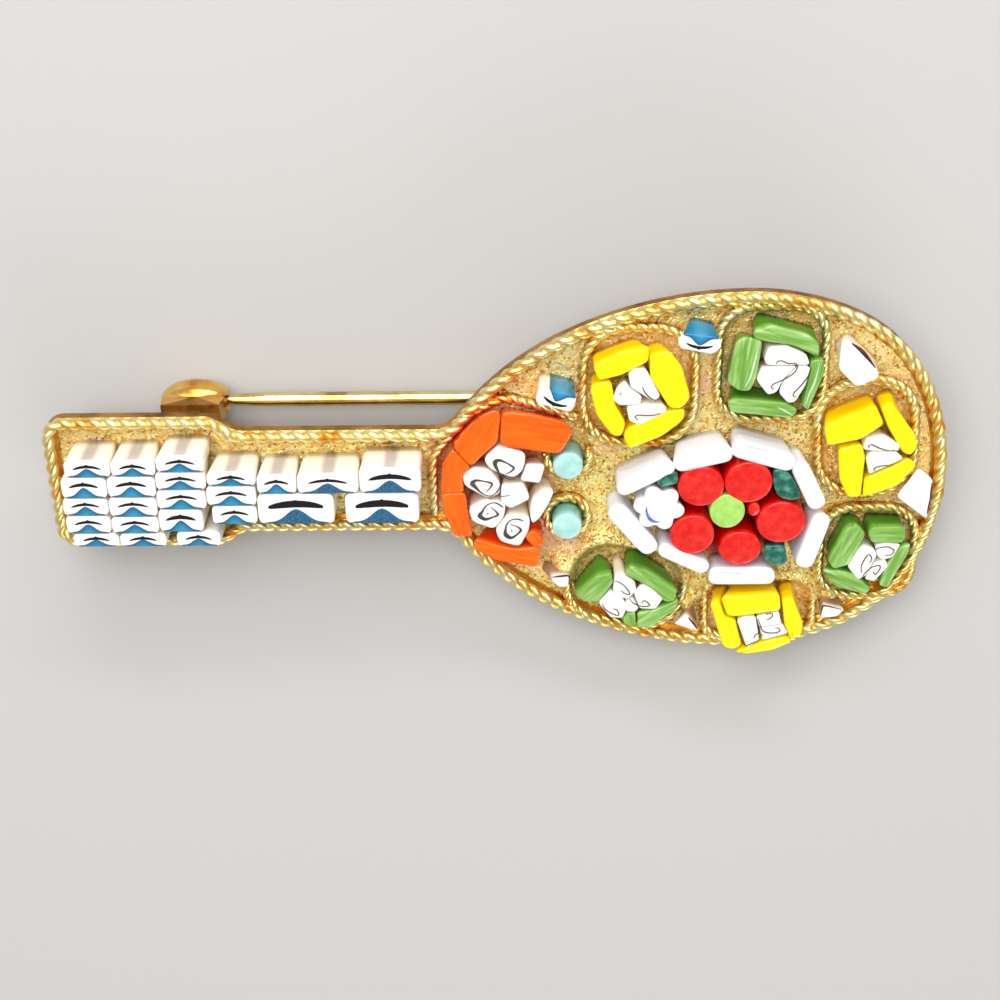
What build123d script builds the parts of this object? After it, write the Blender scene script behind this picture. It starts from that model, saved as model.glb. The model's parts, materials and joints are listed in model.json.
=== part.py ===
from build123d import *
import math
import os

# A lute-shaped micromosaic brooch: a gilt brass tray with a twisted-wire border and wire cells,
# filled with cement in which tall glass tesserae stand. A hinged pin and its catch sit behind it.
# The brooch's own frame has x along it from head to body, y across it and z out of its face,
# with z = 0 at the back of the tray. It lies on its lower rim and on its fittings, face up,
# so that frame is turned about x until all three just meet the surface below.

# Driving dimensions of the tray, in millimetres
brooch_length = 50.1
body_width = 22.4
head_width = 8.2
head_length = 9.5
neck_width = 6.4
back_plate = 0.7
wall_height = 1.55
wall_thickness = 0.5
wall_set_back = 0.15
ledge_width = 0.5
ledge_height = 1.3
foot_slant_in = 0.5
foot_slant_up = 0.9

# Wires, cement and glass
rim_wire = 0.75
cell_wire = 0.6
cell_strip = 0.34
cell_strip_height = 1.6
bed_height = 1.38
fit_gap = 0.05
joint_gap = 0.13
corner_radius = 0.22
handle_glass = 2.6
pear_glass = 2.0
flower_glass = 1.55
orange_glass = 1.85
turquoise_glass = 1.7

# Pin, catch and hinge
pin_wire = 0.8
pin_tip_length = 5.0
pin_root_length = 1.4
pin_root_width = 1.1
pin_tip_width = 0.3
pin_y = 3.4
pin_depth = 1.7
catch_length = 4.1
catch_width = 2.4
catch_from_head = 8.15
catch_slot_gap = 0.12
catch_foot = 1.5
hinge_to_catch = 32.0
knuckle_width = 1.2
knuckle_diameter = 1.9
hinge_cheek = 0.55
hinge_side_gap = 0.1
rivet_diameter = 0.9
rivet_gap = 0.06
hinge_foot = 2.2
catch_end_wall = 0.5

# Where the main shapes lie along the brooch, from its middle
right_end = brooch_length / 2
head_end = -brooch_length / 2
half_body = body_width / 2
half_head = head_width / 2
half_neck = neck_width / 2
body_x = right_end - half_body
waist_x = body_x - 1.47 * half_body
handle_length = waist_x - head_end

# The tilt at which the catch and the lower rim both meet the surface
rim_foot_y = half_body - wall_set_back - foot_slant_in
catch_radius = catch_width / 2
reach = math.hypot(pin_y + rim_foot_y, pin_depth)
tilt = math.atan2(pin_depth, pin_y + rim_foot_y) + math.asin(catch_radius / reach)

# The highest wire on each side gives the box's two long edges, and its middle is the origin
wire_z = wall_height + 0.35 * rim_wire
wire_reach = half_body - rim_wire / 2
south_edge = -wire_reach * math.cos(tilt) - wire_z * math.sin(tilt) - rim_wire / 2
north_edge = (half_body - wall_set_back) * math.cos(tilt) - foot_slant_up * math.sin(tilt)
lift = rim_foot_y * math.sin(tilt)

lie = Plane(
    origin=(0, -(south_edge + north_edge) / 2, lift),
    x_dir=(1, 0, 0),
    z_dir=(0, -math.sin(tilt), math.cos(tilt)),
)


def level(height):
    """The plane parallel to the brooch's face, a height above the back of its tray."""
    return lie.offset(height)


def crossways(x, y, height):
    """A plane through a point of the brooch that holds its length and its depth."""
    return Plane(origin=lie.from_local_coords(Vector(x, y, height)), x_dir=lie.x_dir, z_dir=lie.y_dir)


# The round end is slightly squared: flat arcs at its end and its sides, a tighter one between
flat_radius = 1.205 * half_body
flat_along = flat_radius * math.cos(math.radians(25))
flat_across = flat_radius * math.sin(math.radians(25))

# The outline is half drawn with tangent arcs and mirrored: round end, shoulder, waist, neck, head
with BuildSketch() as outline:
    with BuildLine():
        round_end = RadiusArc(
            (right_end, 0),
            (right_end - flat_radius + flat_along, flat_across),
            -flat_radius,
        )
        corner = TangentArc(
            round_end @ 1,
            (body_x + flat_across, half_body - flat_radius + flat_along),
            tangent=round_end % 1,
        )
        top = TangentArc(corner @ 1, (body_x, half_body), tangent=corner % 1)
        shoulder = TangentArc(
            top @ 1,
            (body_x - 0.884 * half_body, 0.795 * half_body),
            tangent=(-1, 0),
        )
        waist = TangentArc(shoulder @ 1, (waist_x, half_neck), tangent=shoulder % 1)
        Polyline(
            waist @ 1,
            (head_end + head_length + 0.14 * head_length, half_neck),
            (head_end + head_length, half_head),
            (head_end, half_head),
            (head_end, 0),
            (right_end, 0),
        )
    make_face()
    mirror(about=Plane.XZ)
    waist_corners = outline.vertices().filter_by(lambda v: abs(v.X - waist_x) < 0.01)
    fillet(waist_corners, radius=0.45 * half_neck)
    head_corners = outline.vertices().filter_by(lambda v: abs(v.X - head_end) < 0.01 and abs(v.Y) > 0.1)
    fillet(head_corners, radius=0.3 * half_head)
    step_corners = outline.vertices().filter_by(
        lambda v: head_end + 0.9 * head_length < v.X < head_end + 1.3 * head_length
    )
    fillet(step_corners, radius=0.25 * half_head)

# Cells are rounded frames. Columns: name, x and y of the middle as shares of half the body from
# the middle of its round end, width and height as shares of a flower's radius, the rounding of
# its corners as a share of its shorter side, and its turn in degrees
flower_radius = 0.134 * body_width
cells = [
    ("northwest", -0.53, 0.515, 2.02, 2.30, 0.38, 0),
    ("north", 0.10, 0.63, 1.90, 2.22, 0.32, 0),
    ("northeast", 0.585, 0.225, 1.76, 2.30, 0.42, 4),
    ("southeast", 0.64, -0.43, 1.76, 1.94, 0.34, 0),
    ("south", 0.11, -0.76, 2.08, 1.40, 0.30, 0),
    ("southwest", -0.575, -0.61, 2.22, 1.80, 0.42, -12),
]
cell_middle = {
    name: (body_x + along * half_body, across * half_body)
    for name, along, across, wide, high, corner, turn in cells
}

# The half-round cell of the orange flower is a wire that runs from the neck to the next cell.
# Columns: x and y as shares of its radius from its own middle
orange_radius = 0.223 * body_width
orange_x = waist_x + 0.7 * orange_radius
orange_wire = [(-0.86, -0.42), (-0.86, 0.30), (-0.48, 0.82), (-0.04, 1.04), (0.74, 0.78)]

# Round turquoise rods stand in bows of wire. Columns: x and y as above, then the angle at which
# the bow starts and the angle it sweeps, in degrees
turquoise_radius = 0.165 * orange_radius
turquoise_rods = [(0.64, 0.31, 170, 210), (0.63, -0.46, 0, 360)]


def at_orange(x, y):
    """A point of the orange flower's layout in the brooch's frame."""
    return (orange_x + x * orange_radius, y * orange_radius)


# Closed and open wire lines of the cells, in the plane of the brooch
cell_lines = []
for name, along, across, wide, high, corner, turn in cells:
    with BuildSketch() as frame:
        with Locations(cell_middle[name]):
            RectangleRounded(
                wide * flower_radius,
                high * flower_radius,
                corner * min(wide, high) * flower_radius,
                rotation=turn,
            )
    cell_lines.append(frame.sketch.face().outer_wire())
ring_radius = turquoise_radius + cell_wire / 2 + fit_gap
for x, y, start, swept in turquoise_rods:
    with BuildLine() as bow:
        CenterArc(at_orange(x, y), ring_radius, start, swept)
    cell_lines.append(bow.wire())
with BuildLine() as orange_line:
    FilletPolyline(*[at_orange(x, y) for x, y in orange_wire], radius=0.28 * orange_radius)
cell_lines.append(orange_line.wire())


def thicken(line, width):
    """The flat band of a width along a wire line."""
    with BuildSketch() as band:
        trace(line, width)
    return band.sketch


# Every wire with its width and the height of its middle: the border's first, then the cells'
with BuildSketch() as rim:
    add(outline.sketch)
    offset(amount=-rim_wire / 2)
wires = [(rim.sketch.face().outer_wire(), rim_wire, wire_z)]
wires += [(line, cell_wire, cell_strip_height + 0.35 * cell_wire) for line in cell_lines]

# The tray's wall is slanted at its foot, and a ledge inside it carries the cement's edge
with BuildPart() as gilt_mount:
    with BuildSketch(lie):
        add(outline.sketch)
        offset(amount=-wall_set_back - foot_slant_in)
    with BuildSketch(level(foot_slant_up)):
        add(outline.sketch)
        offset(amount=-wall_set_back)
    loft(ruled=True)
    with BuildSketch(level(foot_slant_up)):
        add(outline.sketch)
        offset(amount=-wall_set_back)
    extrude(amount=wall_height - foot_slant_up)
    with BuildSketch(level(ledge_height)):
        add(outline.sketch)
        offset(amount=-wall_set_back - wall_thickness)
    extrude(amount=wall_height, mode=Mode.SUBTRACT)
    with BuildSketch(level(back_plate)):
        add(outline.sketch)
        offset(amount=-wall_set_back - wall_thickness - ledge_width)
    extrude(amount=wall_height, mode=Mode.SUBTRACT)
    # Thin strips on edge stand on the plate and carry the cells' wires
    for line in cell_lines:
        with BuildSketch(level(back_plate)):
            add(thicken(line, cell_strip))
        extrude(amount=cell_strip_height - back_plate)

    # A twisted wire lies on the wall, and thinner ones lie on the strips
    for line, width, height in wires:
        path = line.moved(level(height).location)
        with BuildSketch(Plane(origin=path @ 0, z_dir=path % 0)):
            Circle(width / 2)
        sweep(path=path)
    # The catch is a hollow olive on a foot, slotted away from the back for the pin to swing out
    catch_x = head_end + catch_from_head
    with BuildSketch(crossways(catch_x, pin_y, -pin_depth)) as olive:
        Ellipse(catch_length / 2, catch_radius)
        Rectangle(catch_length, catch_width, align=(Align.CENTER, Align.MAX), mode=Mode.SUBTRACT)
    revolve(axis=Axis(lie.from_local_coords(Vector(catch_x, pin_y, -pin_depth)), lie.x_dir))
    with BuildSketch(level(-pin_depth)):
        with Locations((catch_x, pin_y - fit_gap)):
            Rectangle(0.8 * catch_length, catch_foot)
    extrude(amount=pin_depth + back_plate / 2)
    # Two cheeks hold the rivet that the pin turns on, and their lower corners meet the surface
    hinge_x = catch_x + hinge_to_catch
    hinge_half = knuckle_width / 2 + hinge_side_gap + hinge_cheek
    hinge_radius = catch_radius / math.cos(tilt) - hinge_half * math.tan(tilt)
    for side in (-1, 1):
        cheek_y = pin_y + side * (hinge_half - hinge_cheek / 2)
        with BuildSketch(crossways(hinge_x, cheek_y, -pin_depth)):
            Circle(hinge_radius)
            with Locations((0, -(pin_depth + back_plate / 2) / 2)):
                Rectangle(hinge_foot, pin_depth + back_plate / 2)
        extrude(amount=hinge_cheek / 2, both=True)
    with BuildSketch(crossways(hinge_x, pin_y, -pin_depth)):
        Circle(rivet_diameter / 2)
    extrude(amount=hinge_half - hinge_cheek / 2, both=True)
    # The slot runs from the catch's mouth nearly to its far end
    with BuildSketch(level(-pin_depth + pin_wire / 2 + catch_slot_gap)):
        with Locations((catch_x + catch_end_wall, pin_y)):
            Rectangle(catch_length, pin_wire + 2 * catch_slot_gap)
    extrude(amount=-pin_depth - catch_width, mode=Mode.SUBTRACT)


# The cement fills the tray inside the ledge, up to the cells' strips and a little over the ledge
with BuildPart() as cement_bed:
    with BuildSketch(level(back_plate + fit_gap)):
        add(outline.sketch)
        offset(amount=-wall_set_back - wall_thickness - ledge_width - fit_gap)
        for line in cell_lines:
            add(thicken(line, cell_strip + 2 * fit_gap), mode=Mode.SUBTRACT)
    extrude(amount=bed_height - back_plate - fit_gap)

# The pin is a wire with a long point at one end and a drilled knuckle at the other, where it thickens
pin_end = -catch_length / 2 + catch_end_wall + pin_wire / 2 - hinge_to_catch
with BuildPart() as pin_stem:
    with BuildSketch(crossways(hinge_x, pin_y, -pin_depth)):
        with BuildLine():
            Polyline(
                (-rivet_diameter / 2 - 2 * rivet_gap, 0),
                (-rivet_diameter / 2 - 2 * rivet_gap, pin_root_width / 2),
                (-pin_root_length, pin_wire / 2),
                (pin_end + pin_tip_length, pin_wire / 2),
                (pin_end, pin_tip_width / 2),
                (pin_end, 0),
                close=True,
            )
        make_face()
    revolve(axis=Axis(lie.from_local_coords(Vector(hinge_x, pin_y, -pin_depth)), lie.x_dir))
    with BuildSketch(crossways(hinge_x, pin_y, -pin_depth)):
        Circle(knuckle_diameter / 2)
        Circle(rivet_diameter / 2 + rivet_gap, mode=Mode.SUBTRACT)
    extrude(amount=knuckle_width / 2, both=True)
    with BuildSketch(crossways(hinge_x, pin_y, -pin_depth)):
        Circle(rivet_diameter / 2 + rivet_gap)
    extrude(amount=knuckle_width, both=True, mode=Mode.SUBTRACT)


def keep(name, part):
    """Label a finished piece and write it."""
    part.label = name
    export_step(part, f"parts/{name}.step")


os.makedirs("parts", exist_ok=True)
keep("gilt_mount", gilt_mount.part)
keep("cement_bed", cement_bed.part)
keep("pin_stem", pin_stem.part)

stone_foot = bed_height + fit_gap


def four_sided(x, y, long, wide, end, turn):
    """Corners of a tessera from its middle, its length, the width of each end and its turn."""
    cosine = math.cos(math.radians(turn))
    sine = math.sin(math.radians(turn))
    corners = [(-long / 2, -wide / 2), (long / 2, -end / 2), (long / 2, end / 2), (-long / 2, wide / 2)]
    return [(x + u * cosine - v * sine, y + u * sine + v * cosine) for u, v in corners]


def tesserae(name, tall, outlines):
    """A node of upright glass pieces that stand on the cement, one for each outline of corners."""
    with BuildPart() as stones:
        for corners in outlines:
            with BuildSketch(level(stone_foot)) as top:
                Polygon(*corners, align=None)
                shortest = top.edges().sort_by(SortBy.LENGTH)[0].length
                fillet(top.vertices(), radius=min(corner_radius, 0.42 * shortest))
            extrude(amount=tall)
    keep(name, stones.part)


def rods(name, tall, circles):
    """A node of round glass rods that stand on the cement, one for each x, y and radius."""
    with BuildPart() as stones:
        with BuildSketch(level(stone_foot)):
            for x, y, radius in circles:
                with Locations((x, y)):
                    Circle(radius)
        extrude(amount=tall)
    keep(name, stones.part)


# Handle tesserae stand in columns. Columns of the table: which column, where a piece starts and
# ends as shares of the handle's length from its head, its south and north sides as shares of half
# the handle's width there
handle_rows = [
    (1, 0.068, 0.181, -0.71, -0.49),
    (1, 0.056, 0.170, -0.49, -0.21),
    (1, 0.055, 0.168, -0.21, 0.06),
    (1, 0.058, 0.172, 0.06, 0.38),
    (1, 0.072, 0.186, 0.38, 0.64),
    (2, 0.190, 0.305, -0.71, -0.49),
    (2, 0.170, 0.288, -0.49, -0.23),
    (2, 0.172, 0.289, -0.23, 0.07),
    (2, 0.174, 0.291, 0.07, 0.39),
    (2, 0.190, 0.292, 0.39, 0.64),
    (3, 0.326, 0.440, -0.71, -0.47),
    (3, 0.290, 0.402, -0.47, -0.12),
    (3, 0.292, 0.406, -0.12, 0.18),
    (3, 0.295, 0.411, 0.18, 0.45),
    (3, 0.306, 0.420, 0.45, 0.71),
    (4, 0.421, 0.530, -0.47, -0.09),
    (4, 0.421, 0.534, -0.09, 0.30),
    (4, 0.425, 0.538, 0.30, 0.58),
    (5, 0.540, 0.728, -0.47, 0.14),
    (5, 0.542, 0.636, 0.14, 0.52),
    (6, 0.640, 0.788, 0.14, 0.54),
    (7, 0.750, 0.936, -0.47, 0.14),
    (7, 0.792, 0.944, 0.16, 0.64),
]
head_share = head_length / handle_length
for column in range(1, 8):
    outlines = []
    for which, start, end, south, north in handle_rows:
        if which != column:
            continue
        half_width = half_head if start < 0.8 * head_share else half_neck
        x = head_end + (start + end) / 2 * handle_length
        y = (south + north) / 2 * half_width
        long = (end - start) * handle_length - joint_gap
        wide = (north - south) * half_width - joint_gap
        outlines.append(four_sided(x, y, long, wide, wide, 0))
    tesserae(f"handle_column_{column}", handle_glass, outlines)

# Each flower has outer bars round a white heart. Columns: x and y of a piece from the middle of
# its flower, its length and the widths of its two ends, all as shares of the flower's radius, and
# its turn in degrees
flower_bars = {
    "northwest": [
        (-0.42, 0.63, 0.85, 0.32, 0.32, 22),
        (-0.575, -0.21, 1.00, 0.33, 0.38, -72),
        (0.42, 0.31, 1.08, 0.36, 0.38, -65),
        (0.245, -0.62, 1.02, 0.36, 0.34, 28),
    ],
    "north": [
        (0.18, 0.66, 1.10, 0.33, 0.30, -15),
        (-0.55, 0.06, 0.98, 0.38, 0.38, 80),
        (0.64, -0.20, 0.92, 0.24, 0.24, 80),
        (-0.16, -0.70, 1.10, 0.33, 0.32, -8),
    ],
    "northeast": [
        (-0.32, 0.51, 0.86, 0.40, 0.40, 25),
        (0.43, 0.42, 1.04, 0.33, 0.32, -68),
        (-0.29, -0.47, 0.96, 0.38, 0.36, -83),
        (0.37, -0.64, 0.72, 0.34, 0.30, 25),
    ],
    "southeast": [
        (-0.44, 0.38, 0.80, 0.36, 0.36, 68),
        (0.25, 0.60, 0.68, 0.34, 0.34, -4),
        (0.46, -0.13, 0.84, 0.26, 0.26, 68),
        (-0.28, -0.45, 0.82, 0.33, 0.30, -32),
    ],
    "south": [
        (-0.10, 0.42, 0.76, 0.26, 0.26, 2),
        (-0.60, 0.00, 0.96, 0.32, 0.32, -72),
        (0.60, 0.08, 0.96, 0.30, 0.30, -76),
        (0.15, -0.42, 0.68, 0.21, 0.22, 10),
    ],
    "southwest": [
        (-0.66, 0.17, 0.86, 0.30, 0.30, 54),
        (0.37, 0.385, 0.90, 0.31, 0.30, -38),
        (0.53, -0.46, 0.84, 0.28, 0.26, 40),
        (-0.12, -0.62, 0.32, 0.26, 0.26, -20),
    ],
}
flower_hearts = {
    "northwest": [
        (0.01, 0.25, 0.58, 0.28, 0.20, -62),
        (-0.24, 0.01, 0.24, 0.27, 0.26, 0),
        (0.04, -0.25, 0.58, 0.24, 0.22, 10),
    ],
    "north": [
        (0.08, 0.33, 0.60, 0.26, 0.24, -8),
        (-0.05, -0.115, 0.50, 0.40, 0.37, 30),
        (0.375, -0.16, 0.44, 0.19, 0.19, 78),
    ],
    "northeast": [
        (0.10, 0.09, 0.48, 0.26, 0.18, -18),
        (0.21, -0.22, 0.46, 0.27, 0.14, 10),
    ],
    "southeast": [
        (-0.13, 0.04, 0.52, 0.26, 0.26, 82),
        (0.25, 0.26, 0.32, 0.22, 0.20, 0),
        (0.175, -0.12, 0.34, 0.18, 0.16, 62),
    ],
    "south": [
        (-0.235, -0.08, 0.42, 0.26, 0.12, -78),
        (0.16, 0.12, 0.42, 0.18, 0.18, 5),
        (0.16, -0.15, 0.44, 0.20, 0.20, 8),
    ],
    "southwest": [
        (-0.125, 0.33, 0.48, 0.16, 0.28, -74),
        (0.03, -0.06, 0.20, 0.20, 0.20, 0),
        (0.39, -0.12, 0.36, 0.32, 0.20, 12),
        (-0.38, -0.24, 0.54, 0.30, 0.30, 60),
    ],
}


def placed(rows, middle, radius):
    """The corners of each row's piece, carried from shares to its place in the brooch."""
    return [
        four_sided(
            middle[0] + x * radius, middle[1] + y * radius, long * radius, wide * radius, end * radius, turn
        )
        for x, y, long, wide, end, turn in rows
    ]


flower_tall = {"south": 1.55 * flower_glass, "southwest": 1.1 * flower_glass}
for name, rows in flower_bars.items():
    tall = flower_tall.get(name, flower_glass)
    tesserae(f"{name}_flower_bars", tall, placed(rows, cell_middle[name], flower_radius))
    tesserae(f"{name}_flower_heart", tall, placed(flower_hearts[name], cell_middle[name], flower_radius))

# The orange flower opens towards the neck, with four rolled petals and their three tails.
# Columns as in the flowers', as shares of its own radius
orange_bars = [
    (0.22, 0.70, 0.70, 0.25, 0.25, -11),
    (-0.43, 0.53, 0.50, 0.22, 0.26, 46),
    (-0.655, 0.12, 0.26, 0.22, 0.22, 86),
    (-0.645, -0.26, 0.42, 0.21, 0.20, -82),
    (-0.03, -0.795, 0.60, 0.20, 0.22, -14),
    (0.27, -0.60, 0.16, 0.12, 0.12, -50),
]
orange_hearts = [
    (-0.05, 0.38, 0.36, 0.26, 0.22, -50),
    (-0.31, 0.12, 0.36, 0.26, 0.20, -8),
    (-0.27, -0.24, 0.36, 0.27, 0.20, 20),
    (0.02, -0.43, 0.40, 0.27, 0.20, 62),
    (0.235, 0.19, 0.18, 0.15, 0.15, 15),
    (0.04, 0.00, 0.24, 0.16, 0.16, 0),
    (0.31, -0.12, 0.32, 0.16, 0.14, 55),
]
tesserae("orange_flower_bars", orange_glass, placed(orange_bars, at_orange(0, 0), orange_radius))
tesserae("orange_flower_heart", orange_glass, placed(orange_hearts, at_orange(0, 0), orange_radius))
turquoise_circles = [(*at_orange(x, y), turquoise_radius) for x, y, start, swept in turquoise_rods]
for side, circle in zip(("north", "south"), turquoise_circles):
    rods(f"turquoise_rod_{side}", turquoise_glass, [circle])

# The middle of the body is a pear of white bars round red rods, with a lime rod at their heart,
# dark leaves and a white floret at its point. Columns as above, as shares of the pear's radius
pear_radius = 0.223 * body_width
pear_middle = (body_x - 0.116 * half_body, -0.11 * half_body)
pear_bars = [
    (-0.90, 0.44, 0.60, 0.165, 0.165, 29),
    (-0.255, 0.71, 0.52, 0.15, 0.15, 14),
    (0.385, 0.72, 0.62, 0.19, 0.19, -18),
    (0.88, 0.34, 0.60, 0.18, 0.18, -65),
    (0.96, -0.40, 0.62, 0.19, 0.19, 75),
    (0.25, -0.84, 0.66, 0.16, 0.16, 0),
    (-0.43, -0.585, 0.60, 0.16, 0.16, -28),
    (-1.03, -0.16, 0.60, 0.20, 0.20, -52),
]
pear_leaves = [
    (-0.65, 0.385, 0.20, 0.12, 0.11, 35),
    (0.66, 0.33, 0.30, 0.16, 0.14, -60),
    (0.64, -0.56, 0.26, 0.16, 0.16, 70),
]
pear_florets = [(-0.72, 0.055, 0.38, 0.32, 0.34, -10)]
tesserae("pear_white_bars", pear_glass, placed(pear_bars, pear_middle, pear_radius))
tesserae("pear_green_leaves", pear_glass, placed(pear_leaves, pear_middle, pear_radius))
tesserae("pear_white_floret", pear_glass, placed(pear_florets, pear_middle, pear_radius))

# Rods of the pear. Columns: x, y and radius as shares of the pear's radius
red_rods = [
    (-0.30, 0.31, 0.22),
    (0.24, 0.385, 0.235),
    (0.63, -0.16, 0.23),
    (0.18, -0.48, 0.23),
    (-0.32, -0.28, 0.22),
    (0.355, 0.04, 0.075),
]
lime_rods = [(0.02, -0.01, 0.17)]


def placed_rods(rows):
    """The middle and radius of each of the pear's rods in the brooch's frame."""
    return [
        (pear_middle[0] + x * pear_radius, pear_middle[1] + y * pear_radius, radius * pear_radius)
        for x, y, radius in rows
    ]


rods("pear_red_rods", pear_glass, placed_rods(red_rods))
rods("pear_lime_rod", pear_glass, placed_rods(lime_rods))

# Single tesserae fill the corners between the cells. Columns: name, x and y as shares of half the
# body from the middle of its round end, length and end widths as shares of a flower's radius,
# turn in degrees, height as a share of a flower tessera's
corner_stones = [
    ("west_top", -0.93, 0.52, 0.67, 0.30, 0.32, -17, 1.35),
    ("north_top", -0.243, 0.812, 0.45, 0.28, 0.28, -15, 1.15),
    ("northeast_top", 0.50, 0.672, 0.80, 0.36, 0.36, -45, 1.1),
    ("east_end", 0.86, -0.07, 0.68, 0.16, 0.36, -88, 1.1),
    ("southeast_low", 0.478, -0.735, 0.38, 0.26, 0.12, -5, 1.0),
    ("south_low", -0.242, -0.80, 0.40, 0.34, 0.12, 90, 1.0),
    ("southwest_low", -0.955, -0.53, 0.33, 0.28, 0.26, -10, 1.0),
]
for name, x, y, long, wide, end, turn, tall in corner_stones:
    corners = four_sided(
        body_x + x * half_body,
        y * half_body,
        long * flower_radius,
        wide * flower_radius,
        end * flower_radius,
        turn,
    )
    tesserae(f"corner_stone_{name}", tall * flower_glass, [corners])
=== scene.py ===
import json
import math

import bmesh
import bpy
import numpy as np
from mathutils import Matrix


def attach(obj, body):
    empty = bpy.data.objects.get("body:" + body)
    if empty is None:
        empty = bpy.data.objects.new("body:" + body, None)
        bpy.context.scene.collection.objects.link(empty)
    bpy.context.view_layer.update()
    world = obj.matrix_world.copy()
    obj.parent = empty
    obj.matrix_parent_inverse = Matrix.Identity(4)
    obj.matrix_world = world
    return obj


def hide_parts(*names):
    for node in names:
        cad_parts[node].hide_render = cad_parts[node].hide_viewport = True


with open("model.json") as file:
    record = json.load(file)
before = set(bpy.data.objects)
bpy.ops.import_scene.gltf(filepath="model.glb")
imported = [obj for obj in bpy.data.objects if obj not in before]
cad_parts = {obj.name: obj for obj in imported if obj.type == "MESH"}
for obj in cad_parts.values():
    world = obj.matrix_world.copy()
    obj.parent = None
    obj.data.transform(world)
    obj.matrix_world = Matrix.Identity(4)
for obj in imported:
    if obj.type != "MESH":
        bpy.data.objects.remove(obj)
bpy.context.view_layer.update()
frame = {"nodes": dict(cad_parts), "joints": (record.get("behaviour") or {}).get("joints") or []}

# The brooch leans on its catch and its hinge, so its own frame is turned about x from the table's.
# In it x runs along the brooch, y across and z out of its face, in millimetres, from the middle of
# the tray's back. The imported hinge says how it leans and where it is.
MM = 0.001
hinge_in_brooch = np.array([15.1, 3.4, -1.7])
hinge = frame["joints"][0]
along_axis = np.array([1.0, 0.0, 0.0])
across_axis = -np.array(hinge["axis"], float)
out_axis = np.cross(along_axis, across_axis)
brooch_axes = np.stack([along_axis, across_axis, out_axis])
brooch_origin = np.array(hinge["pos_m"], float) / MM - hinge_in_brooch @ brooch_axes


def to_table(points):
    """Points of the brooch's frame, in millimetres, as metres of the table's."""
    return (np.asarray(points, float) @ brooch_axes + brooch_origin) * MM


def from_table(points):
    """Points of the table's frame, in metres, as millimetres of the brooch's."""
    return (np.asarray(points, float) / MM - brooch_origin) @ brooch_axes.T


# The camera stands where the photograph was taken from: 30 degrees from the normal of the brooch's
# face, on its northern side, 98 mm away, with a 63 mm lens on a sensor 36 mm wide.
camera_lean = math.radians(30)
camera_swing = math.radians(3)
camera_roll = math.radians(-2.2)
camera_distance = 98.1
camera_aim = np.array([0.3, -1.05, 2.2])
back = np.array([
    math.sin(camera_lean) * math.sin(camera_swing),
    math.sin(camera_lean) * math.cos(camera_swing),
    math.cos(camera_lean),
])
level_right = np.array([math.cos(camera_swing), -math.sin(camera_swing), 0.0])
level_up = np.cross(back, level_right)
right = level_right * math.cos(camera_roll) - level_up * math.sin(camera_roll)
up = level_right * math.sin(camera_roll) + level_up * math.cos(camera_roll)
lens = bpy.data.cameras.new("studio_camera")
lens.sensor_width = 36
lens.lens = 63.2
lens.clip_start = 0.005
camera = bpy.data.objects.new("studio_camera", lens)
bpy.context.scene.collection.objects.link(camera)
facing = np.eye(4)
facing[:3, :3] = (np.stack([right, up, back]) @ brooch_axes).T
facing[:3, 3] = to_table(camera_aim + camera_distance * back)
camera.matrix_world = Matrix(facing.tolist())
bpy.context.scene.camera = camera


def colour(digits):
    """Six sRGB hex digits as linear red, green and blue, with full alpha."""
    value = np.array([int(digits[k:k + 2], 16) for k in (0, 2, 4)]) / 255
    linear = np.where(value <= 0.04045, value / 12.92, ((value + 0.055) / 1.055) ** 2.4)
    return (*linear.tolist(), 1.0)


def add(material, kind, settings, inputs, stops=()):
    """Adds a shader node to a material, with its settings.

    Each input is a value, a socket to link, or a node, which is linked by its first output. The
    stops are a colour ramp's, from its first to its last, each a place and hex digits."""
    made = material.node_tree.nodes.new("ShaderNode" + kind)
    for key, value in settings.items():
        setattr(made, key, value)
    for key, value in inputs.items():
        if isinstance(value, bpy.types.Node):
            value = value.outputs[0]
        if isinstance(value, bpy.types.NodeSocket):
            material.node_tree.links.new(value, made.inputs[key])
        else:
            made.inputs[key].default_value = value
    for number, (place, digits) in enumerate([*stops[:1], *stops[-1:], *stops[1:-1]]):
        ramp = made.color_ramp.elements
        stop = ramp[number] if number < 2 else ramp.new(place)
        stop.position = place
        stop.color = colour(digits)
    return made


def finish_named(name):
    """A new material whose nodes are still to be added."""
    material = bpy.data.materials.new(name)
    material.use_nodes = True
    material.node_tree.nodes.clear()
    return material


# A pale paper sweep lies under the brooch, lit by soft boxes: a large one above and behind the
# camera, a strip that draws the lights along wires and glass, and a fill from the other side.
# Uncoated paper is matt and light grey, with fibres about a millimetre long that hardly show.
paper = finish_named("matt_paper")
paper_fibres = add(paper, "TexNoise", {}, {"Scale": 0.9 / MM, "Detail": 3.0})
paper_bump = add(paper, "Bump", {}, {
    "Strength": 0.05, "Distance": 0.0002, "Height": paper_fibres})
paper_skin = add(paper, "BsdfPrincipled", {}, {
    "Base Color": colour("C6C5C2"), "Roughness": 0.8, "Normal": paper_bump})
add(paper, "OutputMaterial", {}, {"Surface": paper_skin})
floor_mesh = bpy.data.meshes.new("paper_sweep")
floor_half = 0.6
floor_mesh.from_pydata(
    [(-floor_half, -floor_half, 0), (floor_half, -floor_half, 0),
     (floor_half, floor_half, 0), (-floor_half, floor_half, 0)], [], [(0, 1, 2, 3)])
floor_mesh.materials.append(paper)
floor = bpy.data.objects.new("paper_sweep", floor_mesh)
bpy.context.scene.collection.objects.link(floor)

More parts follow.
